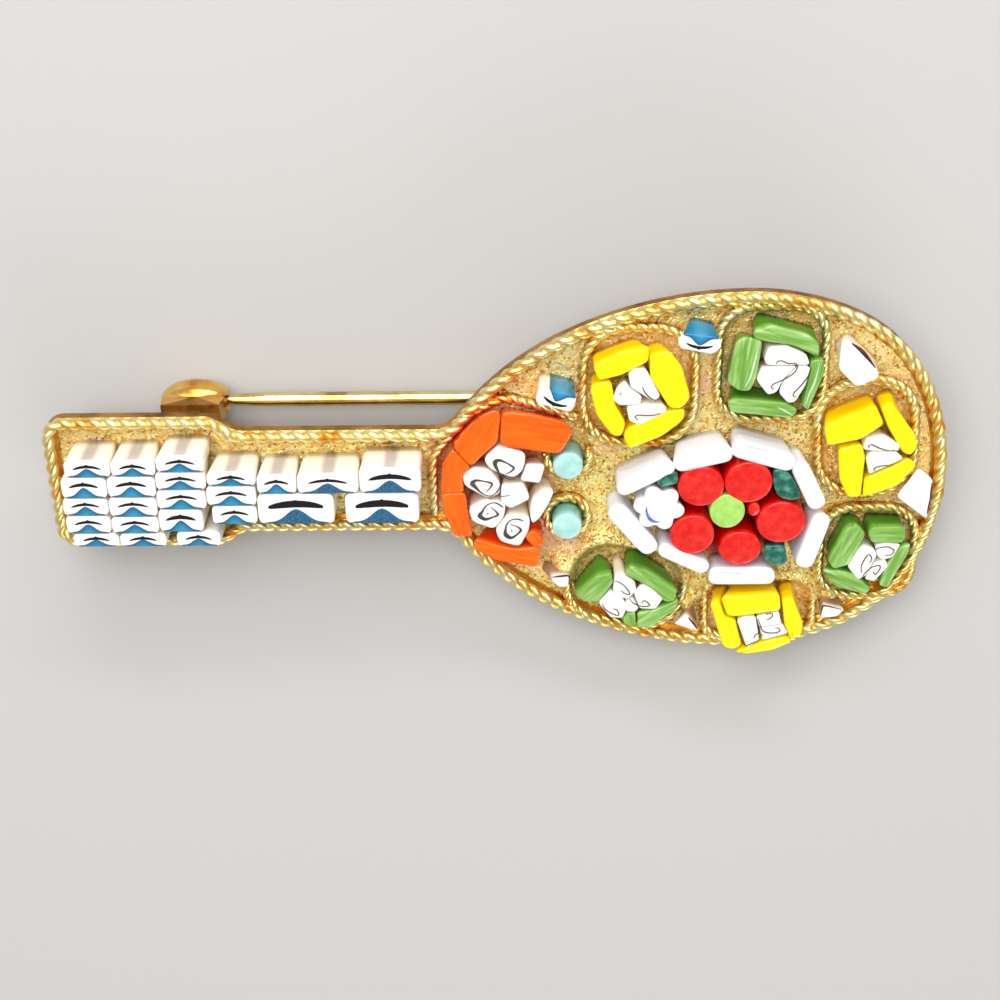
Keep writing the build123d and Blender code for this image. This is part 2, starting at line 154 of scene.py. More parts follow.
# Columns: name, place in metres, width and height in metres, power in watts
soft_boxes = [
    ("key_box", (-0.06, 0.15, 0.28), 0.28, 0.28, 0.86),
    ("front_box", (0.14, -0.3, 0.14), 0.26, 0.1, 0.34),
    ("strip_box", (0.06, 0.3, 0.16), 0.3, 0.05, 0.5),
]
for name, place, wide, tall, power in soft_boxes:
    light = bpy.data.lights.new(name, "AREA")
    light.shape = "RECTANGLE"
    light.size = wide
    light.size_y = tall
    light.energy = power
    lamp = bpy.data.objects.new(name, light)
    bpy.context.scene.collection.objects.link(lamp)
    towards = -np.array(place) / np.linalg.norm(place)
    sideways = np.cross(towards, (0, 0, 1))
    sideways /= np.linalg.norm(sideways)
    pose = np.eye(4)
    pose[:3, :3] = np.stack([sideways, np.cross(-towards, sideways), -towards]).T
    pose[:3, 3] = place
    lamp.matrix_world = Matrix(pose.tolist())
world = bpy.data.worlds.new("studio")
world.use_nodes = True
world.node_tree.nodes["Background"].inputs["Color"].default_value = colour("F2F0EE")
world.node_tree.nodes["Background"].inputs["Strength"].default_value = 0.5
bpy.context.scene.world = world
bpy.context.scene.view_settings.view_transform = "Standard"

# The tray is brass sheet, gilt: a back plate, a wall that slants in at its foot, a ledge inside it,
# and strips on edge that carry the cells' wires. Catch and hinge are soldered behind it. Its metal
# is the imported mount's own, with the round wires drawn in to thin cores for the twisted ones.
brooch_length = 50.1
body_width = 22.4
head_width = 8.2
head_length = 9.5
neck_width = 6.4
rim_wire = 0.75
cell_wire = 0.6
wall_height = 1.55
strip_height = 1.6
right_end = brooch_length / 2
head_end = -brooch_length / 2
half_body = body_width / 2
half_head = head_width / 2
half_neck = neck_width / 2
body_x = right_end - half_body
waist_x = body_x - 1.47 * half_body


def turned(vector, angle):
    """A flat vector turned anticlockwise."""
    cosine, sine = math.cos(angle), math.sin(angle)
    return np.array([vector[0] * cosine - vector[1] * sine, vector[0] * sine + vector[1] * cosine])


def tangent_arc(start, end, heading, count=25):
    """The arc of a circle that leaves start along heading and ends at end.

    The chord from start to each point turns evenly from heading to the whole chord, and its length
    goes as the sine of that turn. Gives the points and the heading at the end."""
    chord = np.subtract(end, start)
    bend = math.atan2(heading[0] * chord[1] - heading[1] * chord[0], np.dot(heading, chord))
    turns = bend * np.linspace(0, 1, count)
    lengths = np.hypot(*chord) * np.sin(turns) / math.sin(bend)
    angles = math.atan2(heading[1], heading[0]) + turns
    points = start + lengths[:, None] * np.stack([np.cos(angles), np.sin(angles)], 1)
    return points, turned(heading, 2 * bend)


def steps_along(line):
    """The distance of each point of a line from its start."""
    return np.r_[0, np.cumsum(np.linalg.norm(np.diff(line, axis=0), axis=1))]


def cut_back(line, distance):
    """A flat line without its last stretch of a distance."""
    steps = steps_along(line)
    stop = steps[-1] - distance
    end = [np.interp(stop, steps, line[:, k]) for k in (0, 1)]
    return np.vstack([line[steps < stop - 1e-6], end])


def rounded(runs, radii):
    """Flat runs joined end to end, each corner eased by an arc of its radius.

    Both runs are cut back by the radius times the tangent of half the turn between them."""
    line = np.asarray(runs[0], float)
    for run, radius in zip(runs[1:], radii):
        run = np.asarray(run, float)
        before, after = line[-1] - line[-2], run[1] - run[0]
        bend = abs(math.atan2(before[0] * after[1] - before[1] * after[0], np.dot(before, after)))
        line = cut_back(line, radius * math.tan(bend / 2))
        run = cut_back(run[::-1], radius * math.tan(bend / 2))[::-1]
        arc, heading = tangent_arc(line[-1], run[0], line[-1] - line[-2], 12)
        line = np.vstack([line, arc[1:-1], run])
    return line


def spaced(line, step):
    """A line's points at even distances of about one step."""
    steps = steps_along(line)
    places = np.linspace(0, steps[-1], max(8, round(steps[-1] / step) + 1))
    return np.stack([np.interp(places, steps, line[:, k]) for k in range(line.shape[1])], 1)


flat_radius = 1.205 * half_body
flat_along = flat_radius * math.cos(math.radians(25))
flat_across = flat_radius * math.sin(math.radians(25))
edge_arcs = []
heading = np.array([0.0, 1.0])
arc_start = np.array([right_end, 0.0])
for arc_end in [
    (right_end - flat_radius + flat_along, flat_across),
    (body_x + flat_across, half_body - flat_radius + flat_along),
    (body_x, half_body),
    (body_x - 0.884 * half_body, 0.795 * half_body),
    (waist_x, half_neck),
]:
    arc, heading = tangent_arc(arc_start, arc_end, heading)
    edge_arcs.append(arc[:-1])
    arc_start = np.array(arc_end)
edge_arcs.append(arc_start[None])
north_edge = rounded(
    [
        np.vstack(edge_arcs),
        [(waist_x, half_neck), (head_end + 1.14 * head_length, half_neck)],
        [(head_end + 1.14 * head_length, half_neck), (head_end + head_length, half_head)],
        [(head_end + head_length, half_head), (head_end, half_head)],
        [(head_end, half_head), (head_end, 0)],
    ],
    [0.45 * half_neck, 0.25 * half_head, 0.25 * half_head, 0.3 * half_head],
)
edge = np.vstack([north_edge, (north_edge * (1, -1))[-2:0:-1], north_edge[:1]])


def headings(line, closed):
    """The unit direction of a line at each of its points."""
    if closed:
        ahead, behind = np.roll(line, -1, axis=0), np.roll(line, 1, axis=0)
        steps = ahead - behind
    else:
        steps = np.gradient(line, axis=0)
    return steps / np.linalg.norm(steps, axis=1, keepdims=True)


def inset(line, distance):
    """A closed flat line that runs anticlockwise, moved inwards by a distance."""
    way = headings(line, True)
    return line + distance * np.stack([-way[:, 1], way[:, 0]], 1)


# Cells as in the mount. Columns: name, x and y of the middle as shares of half the body, width and
# height as shares of a flower's radius, corner as a share of the shorter side, turn in degrees
flower_radius = 0.134 * body_width
cells = [
    ("northwest", -0.53, 0.515, 2.02, 2.3, 0.38, 0),
    ("north", 0.1, 0.63, 1.9, 2.22, 0.32, 0),
    ("northeast", 0.585, 0.225, 1.76, 2.3, 0.42, 4),
    ("southeast", 0.64, -0.43, 1.76, 1.94, 0.34, 0),
    ("south", 0.11, -0.76, 2.08, 1.4, 0.3, 0),
    ("southwest", -0.575, -0.61, 2.22, 1.8, 0.42, -12),
]
orange_radius = 0.223 * body_width
orange_x = waist_x + 0.7 * orange_radius
orange_wire = np.array([(-0.86, -0.42), (-0.86, 0.3), (-0.48, 0.82), (-0.04, 1.04), (0.74, 0.78)])
turquoise_radius = 0.165 * orange_radius
turquoise_rods = [(0.64, 0.31, 170, 210), (0.63, -0.46, 0, 360)]
ring_radius = turquoise_radius + cell_wire / 2 + 0.05

# Each wire as its flat line and whether it closes on itself
rope_step = 0.09
border_line = inset(spaced(edge, rope_step)[:-1], rim_wire / 2)
cell_lines = []
for name, share_x, share_y, wide, high, corner, turn in cells:
    half = np.array([wide, high]) * flower_radius / 2
    ends = np.array([(1, 0), (1, 1), (-1, 1), (-1, -1), (1, -1), (1, 0)]) * half
    frame_line = rounded(
        [ends[k:k + 2] for k in range(5)], [corner * min(wide, high) * flower_radius] * 4)
    cosine, sine = math.cos(math.radians(turn)), math.sin(math.radians(turn))
    frame_line = frame_line @ np.array([[cosine, sine], [-sine, cosine]])
    middle = (body_x + share_x * half_body, share_y * half_body)
    cell_lines.append((spaced(frame_line + middle, rope_step)[:-1], True))
for share_x, share_y, start, swept in turquoise_rods:
    angles = np.radians(start + np.linspace(0, swept, 90))
    bow = np.stack([np.cos(angles), np.sin(angles)], 1) * ring_radius
    bow = spaced(bow + (orange_x + share_x * orange_radius, share_y * orange_radius), rope_step)
    cell_lines.append((bow[:-1], True) if swept == 360 else (bow, False))
orange_points = orange_wire * orange_radius + (orange_x, 0)
orange_line = rounded(
    [orange_points[k:k + 2] for k in range(4)], [0.28 * orange_radius] * 3)
cell_lines.append((spaced(orange_line, rope_step), False))

rim_height = wall_height + 0.35 * rim_wire
cell_height = strip_height + 0.35 * cell_wire


def skin(grid, closed_along):
    """Points and faces of a tube: a grid of stations along it by points round it.

    Neighbours are joined by quads, round every station and, if closed, from the last station to
    the first. Otherwise each end is closed by a fan to its middle."""
    stations, sides = grid.shape[:2]
    count = stations * sides
    rows = np.arange(stations if closed_along else stations - 1)[:, None]
    columns = np.arange(sides)[None]
    here = rows * sides + columns
    beside = rows * sides + (columns + 1) % sides
    ahead = (rows + 1) % stations * sides + columns
    across = (rows + 1) % stations * sides + (columns + 1) % sides
    faces = np.stack([here, beside, across, ahead], -1).reshape(-1, 4).tolist()
    points = grid.reshape(-1, 3)
    if not closed_along:
        points = np.vstack([points, grid[0].mean(0), grid[-1].mean(0)])
        ring = np.arange(sides)
        after = (ring + 1) % sides
        first = np.stack([after, ring, np.full(sides, count)], 1)
        last = np.stack([ring + count - sides, after + count - sides, np.full(sides, count + 1)], 1)
        faces += first.tolist() + last.tolist()
    return points, faces


def gathered(parts):
    """Several meshes as one: their points one after another, and their faces counted on."""
    points, faces, start = [], [], 0
    for part_points, part_faces in parts:
        points.append(part_points)
        faces += [[k + start for k in face] for face in part_faces]
        start += len(part_points)
    return np.vstack(points), faces


def piece(name, points, faces, materials, attributes, node=None, face_finish=None):
    """A piece on the brooch's body from points of its frame, smooth, with its faces turned outwards.

    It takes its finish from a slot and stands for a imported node, if one is named."""
    mesh = bpy.data.meshes.new(name)
    mesh.from_pydata(to_table(points).tolist(), [], faces)
    for material in materials:
        mesh.materials.append(material)
    for key, values in attributes.items():
        kind, field = ("FLOAT", "value") if values.ndim == 1 else ("FLOAT_VECTOR", "vector")
        layer = mesh.attributes.new(key, kind, "POINT")
        layer.data.foreach_set(field, values.ravel().astype(np.float32))
    if face_finish is not None:
        mesh.polygons.foreach_set("material_index", face_finish)
    shell = bmesh.new()
    shell.from_mesh(mesh)
    bmesh.ops.recalc_face_normals(shell, faces=shell.faces)
    shell.to_mesh(mesh)
    shell.free()
    mesh.shade_smooth()
    made = bpy.data.objects.new(name, mesh)
    bpy.context.scene.collection.objects.link(made)
    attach(made, "brooch")
    if node:
        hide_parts(node)


# Gilt brass is warm and bright, and tarnishes to orange brown in patches about 2 mm wide. It is dull
# and scratched on the wall, smooth on the ledge and the fittings, and brightest on the drawn wires.
def gilt(name, bright, worn, dark, roughness, tooth, depth):
    """A gilt finish from three colours, its roughness, and its tooth's size and depth in mm.

    Where the patina attribute is high, green shows in spots of the tooth's size: copper salts, and round
    the green cells also painted reflection of their glass."""
    material = finish_named(name)
    place = add(material, "TexCoord", {}, {}).outputs["Object"]
    patches = add(material, "TexNoise", {}, {
        "Vector": place, "Scale": 0.55 / MM, "Detail": 4.0, "Roughness": 0.6})
    grains = add(material, "TexNoise", {}, {
        "Vector": place, "Scale": 1 / (tooth * MM), "Detail": 3.0, "Roughness": 0.6})
    ramp = add(material, "ValToRGB", {}, {"Fac": patches}, [(0.32, dark), (0.45, worn), (0.62, bright)])
    # The patina attribute carries both copper-salt green and painted green reflection from the glass nearby
    patina_and_reflection = add(material, "Attribute", {"attribute_name": "patina_and_reflection"}, {})
    green_tint_grains = add(material, "MapRange", {}, {
        "Value": grains, "From Min": 0.42, "From Max": 0.62})
    green_tint_share = add(material, "Math", {"operation": "MULTIPLY"}, {
        0: patina_and_reflection.outputs["Fac"], 1: green_tint_grains})
    tinted = add(material, "Mix", {"data_type": "RGBA"}, {
        0: green_tint_share, 6: ramp, 7: colour("A4D084")})
    bump = add(material, "Bump", {}, {
        "Strength": 1.0, "Distance": depth * MM, "Height": grains})
    metal = add(material, "BsdfPrincipled", {}, {
        "Base Color": tinted.outputs[2], "Metallic": 1.0, "Roughness": roughness,
        "Normal": bump})
    add(material, "OutputMaterial", {}, {"Surface": metal})
    return material


gilt_wall = gilt("dull_gilt_brass", "C4964A", "9A7038", "6A4A24", 0.42, 0.16, 0.035)
gilt_smooth = gilt("polished_gilt_brass", "F6CC74", "E8AC50", "C88634", 0.26, 0.35, 0.008)
# The drawn wires' pale colours are partly painted highlight, lighter than the ledge's to stand in for the
# bright light they catch
gilt_rope = gilt("bright_gilt_wire", "FFF0B2", "FFE08A", "F6A848", 0.36, 0.3, 0.004)

mount = frame["nodes"]["gilt_mount"]
mount_mesh = mount.data.copy()
tray = bpy.data.objects.new("gilt_tray", mount_mesh)
bpy.context.scene.collection.objects.link(tray)
shell = bmesh.new()
shell.from_mesh(mount_mesh)
bmesh.ops.remove_doubles(shell, verts=shell.verts, dist=0.000002)
shell.to_mesh(mount_mesh)
shell.free()
tray_points = np.zeros(len(mount_mesh.vertices) * 3)
mount_mesh.vertices.foreach_get("co", tray_points)
tray_points = from_table(tray_points.reshape(-1, 3))
wire_points = np.vstack(
    [np.c_[border_line, np.full(len(border_line), rim_height)]]
    + [np.c_[line, np.full(len(line), cell_height)] for line, closed in cell_lines])
core_share = 0.3
above_wall = wall_height + 0.04
ledge_height = 1.2
back_depth = -0.02
raised = np.flatnonzero(tray_points[:, 2] > above_wall)
apart = (
    (tray_points[raised] ** 2).sum(1)[:, None] + (wire_points ** 2).sum(1)[None]
    - 2 * tray_points[raised] @ wire_points.T)
nearest = wire_points[apart.argmin(1)]
tray_points[raised] = nearest + core_share * (tray_points[raised] - nearest)
mount_mesh.vertices.foreach_set("co", to_table(tray_points).ravel())
if "custom_normal" in mount_mesh.attributes:
    mount_mesh.attributes.remove(mount_mesh.attributes["custom_normal"])
mount_mesh.materials.clear()
mount_mesh.materials.append(gilt_wall)
mount_mesh.materials.append(gilt_smooth)
centres = np.zeros(len(mount_mesh.polygons) * 3)
mount_mesh.polygons.foreach_get("center", centres)
centres = from_table(centres.reshape(-1, 3))
corners = np.zeros(len(mount_mesh.loops), np.int32)
mount_mesh.loops.foreach_get("vertex_index", corners)
first_corners = np.zeros(len(mount_mesh.polygons), np.int32)
mount_mesh.polygons.foreach_get("loop_start", first_corners)
lowest = np.minimum.reduceat(tray_points[corners, 2], first_corners)
behind_tray = centres[:, 2] < back_depth
above_ledge = lowest > ledge_height
mount_mesh.polygons.foreach_set("material_index", (behind_tray | above_ledge).astype(np.int32))
mount_mesh.shade_smooth()
mount_mesh.set_sharp_from_angle(angle=math.radians(20))
mount_mesh.update()
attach(tray, "brooch")
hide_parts("gilt_mount")

# Every wire is two round brass wires twisted together, gilt and soldered down. The border's is
# 0.75 mm thick and the cells' 0.6 mm, and a lobe shows every 0.8 mm along the one and 0.6 mm along
# the others. A strand's offset and radius are shares of the rope's width.
lay_of_border = 1.65
lay_of_cells = 1.2
strand_sides = 9
strand_offset = 0.2
strand_radius = 0.3
unevenness = 0.35
slow_waves = 5


def rope(line, closed, height, thick, lay, start):
    """Two strands twisted round a flat line at a height.

    Each strand's middle is the line plus the strand's offset turned about it, one turn in each lay,
    and its round section stands square to its own direction. A slow wave makes the twist uneven, as
    in hand-twisted wire."""
    steps = steps_along(line)
    total = steps[-1] + (np.linalg.norm(line[0] - line[-1]) if closed else 0)
    turns = max(1, round(total / lay))
    share = steps / total
    way = headings(line, closed)
    side = np.c_[-way[:, 1], way[:, 0], np.zeros(len(line))]
    rise = np.array([0.0, 0.0, 1.0])
    twist = 2 * np.pi * turns * share + unevenness * np.sin(2 * np.pi * slow_waves * share + start)
    strands = []
    for half_turn in (0, np.pi):
        angle = (twist + start + half_turn)[:, None]
        outwards = np.cos(angle) * side + np.sin(angle) * rise
        middle = np.c_[line, np.full(len(line), height)] + strand_offset * thick * outwards
        strand_way = headings(middle, closed)
        binormal = np.cross(strand_way, outwards)
        binormal /= np.linalg.norm(binormal, axis=1, keepdims=True)
        outwards = np.cross(binormal, strand_way)
        around = np.linspace(0, 2 * np.pi, strand_sides, endpoint=False)[None, :, None]
        grid = middle[:, None] + strand_radius * thick * (
            np.cos(around) * outwards[:, None] + np.sin(around) * binormal[:, None])
        strands.append(skin(grid, closed))
    return gathered(strands)


# Green on the gilding round the three green cells and in five spots: copper-salt corrosion together with
# painted reflection of the green glass. Columns: x, y, reach in mm, share of green
corrosion_and_reflection_spots = [
    (14.9, 7.2, 3.2, 0.4), (21.1, -4.6, 3.0, 0.4), (7.5, -6.8, 3.0, 0.4), (9.8, 2.9, 0.7, 0.9),
    (12.6, 6.9, 0.5, 0.9), (18.0, 9.4, 0.6, 0.9), (18.9, -3.9, 0.6, 0.9), (11.0, -7.0, 0.7, 0.9)]


def bell_curve(points, x, y, reach):
    """A bell curve about a place: one there, and 0.37 at its reach."""
    return np.exp(-((points[..., 0] - x) ** 2 + (points[..., 1] - y) ** 2) / reach ** 2)


def near_green(points):
    """How green the gilding is: it falls off as a bell curve from the middle of each green spot."""
    share = np.zeros(len(points))
    for x, y, reach, most in corrosion_and_reflection_spots:
        share = np.maximum(share, most * bell_curve(points, x, y, reach))
    return share


border_ropes = rope(border_line, True, rim_height, rim_wire, lay_of_border, 0.4)
cell_ropes = gathered([
    rope(line, closed, cell_height, cell_wire, lay_of_cells, 0.9 * number)
    for number, (line, closed) in enumerate(cell_lines)])
for name, (points, faces) in [("border_rope", border_ropes), ("cell_ropes", cell_ropes)]:
    piece(name, points, faces, [gilt_rope], {"patina_and_reflection": near_green(points)})

# The bed is mastic cement, salmon to beige, strewn with gilt filings that lie thickest between the
# pear and the orange flower. It is heaped a little by hand, so its top is uneven.
bed_height = 1.38
bed_base = 0.76
bed_inset = 0.84
bed_rows = 420
bed_columns = 150
base_steps = 16
bed_waves = np.random.default_rng(7)


def rolling(x, y, size, count):
    """A sum of waves of about one size in random directions, mostly between minus one and one."""
    total = np.zeros_like(x)
    for angle, phase, stretch in zip(
            bed_waves.uniform(0, np.pi, count), bed_waves.uniform(0, 6.28, count),
            bed_waves.uniform(0.7, 1.4, count)):
        total += np.sin(2 * np.pi * stretch / size * (x * math.cos(angle) + y * math.sin(angle)) + phase)
    return total / math.sqrt(count) * 0.7


# Cement heaped against the northern sides of the three low corner pieces. Columns: x, y, height in mm
cement_heaps = [(3.65, -5.5, 0.95), (10.9, -8.25, 0.9), (19.25, -7.65, 0.9)]
heap_reach = 0.5
bed_edge = inset(spaced(edge, 0.1)[:-1], bed_inset)
upper = bed_edge[(bed_edge[:, 1] > 0) & (bed_edge[:, 0] > head_end + bed_inset + 0.02)]
upper = upper[np.argsort(-upper[:, 0])]
bed_x = np.linspace(right_end - bed_inset - 0.02, head_end + bed_inset + 0.02, bed_rows)
bed_half = np.interp(-bed_x, -upper[:, 0], upper[:, 1])
share = np.linspace(-1, 1, bed_columns)
bed_x_grid = np.repeat(bed_x[:, None], bed_columns, 1)
bed_y_grid = bed_half[:, None] * share[None]
bed_places = np.stack([bed_x_grid, bed_y_grid], -1)
bed_top = np.full_like(bed_x_grid, bed_height)
# The top's unevenness. Columns: height and size of the waves in mm, how many
for wave_height, wave_size, count in [(0.05, 3.5, 9), (0.045, 0.9, 14), (0.045, 0.4, 16)]:
    bed_top += wave_height * rolling(bed_x_grid, bed_y_grid, wave_size, count)
for heap_x, heap_y, heap_height in cement_heaps:
    bed_top += heap_height * bell_curve(bed_places, heap_x, heap_y, heap_reach)
# The south and southwest cells' ropes lie buried in cement wherever they are north of a y in mm
buried_ropes = [(4, -7.8), (5, -6.6)]
buried_height = 0.78
buried_reach = 0.46
buried = np.zeros_like(bed_top)
for number, southern_end in buried_ropes:
    rope_line = cell_lines[number][0]
    for rope_x, rope_y in rope_line[rope_line[:, 1] > southern_end][::3]:
        buried = np.maximum(buried, buried_height * bell_curve(bed_places, rope_x, rope_y, buried_reach))
bed_top += buried
# Top from side to side and the flat base back again, in fewer steps, make a ring for each row
top_grid = np.dstack([bed_places, bed_top])
base_columns = np.linspace(bed_columns - 1, 0, base_steps).astype(int)
base_grid = top_grid[:, base_columns]
base_grid[..., 2] = bed_base
bed_rings = np.concatenate([top_grid, base_grid], 1)


# Columns: x, y, reach in mm, how much more or fewer filings
filing_heaps = [
    (7.2, -3.6, 2.6, 0.7), (4.3, 0.4, 1.9, 0.5), (8.5, 2.9, 1.5, 0.4), (17.8, -5.5, 2.4, 0.5),
    (10.5, -7.0, 2.2, 0.5), (-8.0, -3.0, 3.0, 0.5), (17.0, 5.0, 1.6, 0.3), (3.4, -3.9, 1.2, -0.9),
    (2.7, -0.3, 0.9, -0.8), (11.0, 5.4, 0.8, -0.7), (6.3, 1.8, 0.8, -0.7), (3.6, -5.1, 0.7, 0.7),
    (10.9, -7.8, 0.6, 0.5), (19.2, -7.2, 0.6, 0.5)]


usual_filings = 0.42
pear_middle = (12.9, -1.2)
pear_half = (6.2, 5.0)
pear_ring = 1.1
ring_spread = 0.16
rim_spread = 0.4


def gilt_share(points):
    """How thick the filings lie: a bell curve for each heap, a ring round the pear, and the rim."""
    share = np.full(len(points), usual_filings)
    for x, y, reach, more in filing_heaps:
        share += more * bell_curve(points, x, y, reach)
    from_pear = np.hypot(*((points[:, :2] - pear_middle) / pear_half).T)
    from_rim = np.interp(-points[:, 0], -bed_x, bed_half) - np.abs(points[:, 1])
    share += 0.5 * np.exp(-((from_pear - pear_ring) / ring_spread) ** 2)
    share += 0.5 * np.exp(-(from_rim / rim_spread) ** 2)
    return np.clip(share, 0, 1)


cell_margin = 0.2


def in_cells(points):
    """How far inside a cell each point is: one where it is a margin or more within the cell's box."""
    deepest = np.zeros(len(points))
    for name, share_x, share_y, wide, high, corner, turn in cells:
        angle = math.radians(-turn)
        offset = points[:, :2] - (body_x + share_x * half_body, share_y * half_body)
        own_x = offset[:, 0] * math.cos(angle) - offset[:, 1] * math.sin(angle)
        own_y = offset[:, 0] * math.sin(angle) + offset[:, 1] * math.cos(angle)
        within = np.minimum(
            wide * flower_radius / 2 - np.abs(own_x), high * flower_radius / 2 - np.abs(own_y))
        deepest = np.maximum(deepest, np.clip(within / cell_margin, 0, 1))
    return deepest


# Mastic cement is waxy, clouded salmon to straw over about 2 mm, and peach where few filings lie.
# They are flat grains of gilt brass 0.13 mm wide, each coloured from dark gold to near white, partly
# painted glint for the light each catches. A painted red and orange glow, light from the glass that
# stands close in it, tints the bed, and painted shade darkens it in the cells.
cement = finish_named("mastic_cement_with_gilt_filings")
cement_place = add(cement, "TexCoord", {}, {}).outputs["Object"]
gilt_plenty, red_share, cell_share = [
    add(cement, "Attribute", {"attribute_name": name}, {}).outputs["Fac"]
    for name in ("gilt_share", "red_share", "cell_share")]
cement_cloud = add(cement, "TexNoise", {}, {
    "Vector": cement_place, "Scale": 0.42 / MM, "Detail": 3.0})
cement_ramp = add(cement, "ValToRGB", {}, {"Fac": cement_cloud}, [
    (0.32, "E4AC5C"), (0.48, "FAD68C"), (0.62, "FEEABC")])
filings = add(cement, "TexVoronoi", {}, {"Vector": cement_place, "Scale": 1 / (0.13 * MM)})
filing_tone = add(cement, "SeparateColor", {}, {"Color": filings.outputs["Color"]})
filing_field = add(cement, "TexNoise", {}, {
    "Vector": cement_place, "Scale": 0.9 / MM, "Detail": 3.0})
filing_sum = add(cement, "Math", {"operation": "ADD"}, {0: gilt_plenty, 1: filing_field})
filing_level = add(cement, "Math", {"operation": "SUBTRACT"}, {
    0: filing_sum, 1: filing_tone.outputs["Green"]})
filing_mask = add(cement, "MapRange", {}, {
    "Value": filing_level, "From Min": 0.3, "From Max": 0.38})
# Painted glint: each grain's colour runs by chance from dark gold to near white
filing_colour_and_glint = add(cement, "ValToRGB", {}, {"Fac": filing_tone.outputs["Red"]}, [
    (0.02, "BC8030"), (0.26, "F8CC5E"), (0.72, "FFF6AA")])
peach_share = add(cement, "MapRange", {}, {
    "Value": gilt_plenty, "From Min": 0.3, "From Max": 0.05})
# Painted shade: inside the cells, where the bed lies in gaps beside glass and wire, it darkens to orange
# brown, more on some grains
cell_shade_by_grain = add(cement, "MapRange", {}, {
    "Value": filing_tone.outputs["Blue"], "From Min": 0.3, "From Max": 0.9, "To Min": 0.5, "To Max": 0.05})
cell_painted_shade = add(cement, "Math", {"operation": "MULTIPLY"}, {0: cell_share, 1: cell_shade_by_grain})
cement_colour = cement_ramp
for tint_share, tint in [
    (peach_share, colour("FAC8A0")),
    (filing_mask, filing_colour_and_glint),
    (cell_painted_shade, colour("D49238")),
    (red_share, colour("C4000A")),
]:
    cement_colour = add(cement, "Mix", {"data_type": "RGBA"}, {
        0: tint_share, 6: cement_colour, 7: tint}).outputs[2]
cement_bump = add(cement, "Bump", {"invert": True}, {
    "Strength": 1.0, "Distance": 0.05 * MM, "Height": filings})
bare_share = add(cement, "Math", {"operation": "SUBTRACT"}, {0: 0.38, 1: red_share})
metal_share = add(cement, "Math", {"operation": "MULTIPLY", "use_clamp": True}, {
    0: filing_mask, 1: bare_share})
cement_skin = add(cement, "BsdfPrincipled", {}, {
    "Base Color": cement_colour, "Metallic": metal_share, "Roughness": 0.36, "Normal": cement_bump})
add(cement, "OutputMaterial", {}, {"Surface": cement_skin})
bed_points, bed_faces = skin(bed_rings, False)
# Between the red rods the bed is bare of filings and has a painted red glow, and round the orange flower's
# hearts a painted orange one: light from the glass, even within its reach and then falling off steeply
red_middle = (13.2, -1.8)
red_stretch = (1.1, 1.0)
red_reach = 3.6
bare_reach = 3.5
orange_middle = (-0.3, 0.6)
orange_reach = 3.4
orange_strength = 0.6
steepness = 10
rods_apart = np.hypot(*((bed_points[:, :2] - red_middle) / red_stretch).T)
orange_apart = np.hypot(*(bed_points[:, :2] - orange_middle).T)
red_glow = np.maximum(
    np.exp(-(rods_apart / red_reach) ** steepness),
    orange_strength * np.exp(-(orange_apart / orange_reach) ** steepness))
piece("cement_fill", bed_points, bed_faces, [cement], {
    "gilt_share": gilt_share(bed_points) * (rods_apart > bare_reach), "red_share": red_glow,
    "cell_share": in_cells(bed_points)}, "cement_bed")

# The pin is drawn brass wire, springy and bright, with a ground point. Its knuckle turns on a rivet
# between the hinge's cheeks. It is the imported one, smooth, with a light tarnish.
pin_brass = gilt("drawn_brass_wire", "EEDC9E", "DCC47C", "B0924E", 0.22, 0.5, 0.004)
pin = frame["nodes"]["pin_stem"]
pin.data.materials.clear()
pin.data.materials.append(pin_brass)


# Tesserae are cut from drawn rods of opaque glass, set upright in the cement with their broken ends
# up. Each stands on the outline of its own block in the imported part, and its arris is softly rounded.
def loose_solids(node_name):
    """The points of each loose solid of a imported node, in the brooch's frame.

    Points at one spot are one, and the lowest label at any corner of a face spreads over it until
    no label changes."""
    mesh = frame["nodes"][node_name].data
    mesh.calc_loop_triangles()
    corners = np.zeros(len(mesh.loop_triangles) * 3, np.int32)
    mesh.loop_triangles.foreach_get("vertices", corners)
    points = np.zeros(len(mesh.vertices) * 3)
    mesh.vertices.foreach_get("co", points)
    spots, same = np.unique(from_table(points.reshape(-1, 3)).round(3), axis=0, return_inverse=True)
    corners = same.ravel()[corners.reshape(-1, 3)]
    label = np.arange(len(spots))
    for spread in range(len(spots)):
        before = label.copy()
        np.minimum.at(label, corners, label[corners].min(1)[:, None])
        if (label == before).all():
            break
    return [spots[label == number] for number in np.unique(label)]


def eased(rim, count, easing):
    """A closed outline through corners, anticlockwise, at even distances, its corners rounded.

    Each easing moves every point half way to the middle of its neighbours, as wear rounds a corner."""
    across = rim[:, 0] * np.roll(rim[:, 1], -1) - rim[:, 1] * np.roll(rim[:, 0], -1)
    rim = rim if across.sum() > 0 else rim[::-1]
    rim = np.vstack([rim, rim[:1]])
    line = spaced(rim, steps_along(rim)[-1] / count)[:-1]
    for passing in range(easing):
        line = (np.roll(line, 1, axis=0) + 2 * line + np.roll(line, -1, axis=0)) / 4
    return line


flat_within = 0.01


def top_outline(solid, count, easing):
    """The eased outline of a convex block's top and its two heights."""
    top = solid[:, 2].max()
    rim = solid[solid[:, 2] > top - flat_within][:, :2]
    middle = rim.mean(0)
    rim = rim[np.argsort(np.arctan2(rim[:, 1] - middle[1], rim[:, 0] - middle[0]))]
    return eased(rim, count, easing), solid[:, 2].min(), top


def own_axes(line):
    """The middle of an outline and the direction of its longer side."""
    middle = (line.max(0) + line.min(0)) / 2
    spread = np.cov((line - line.mean(0)).T)
    values, vectors = np.linalg.eigh(spread)
    longest = vectors[:, 1] * np.sign(vectors[0, 1] + 1e-9)
    return middle, longest


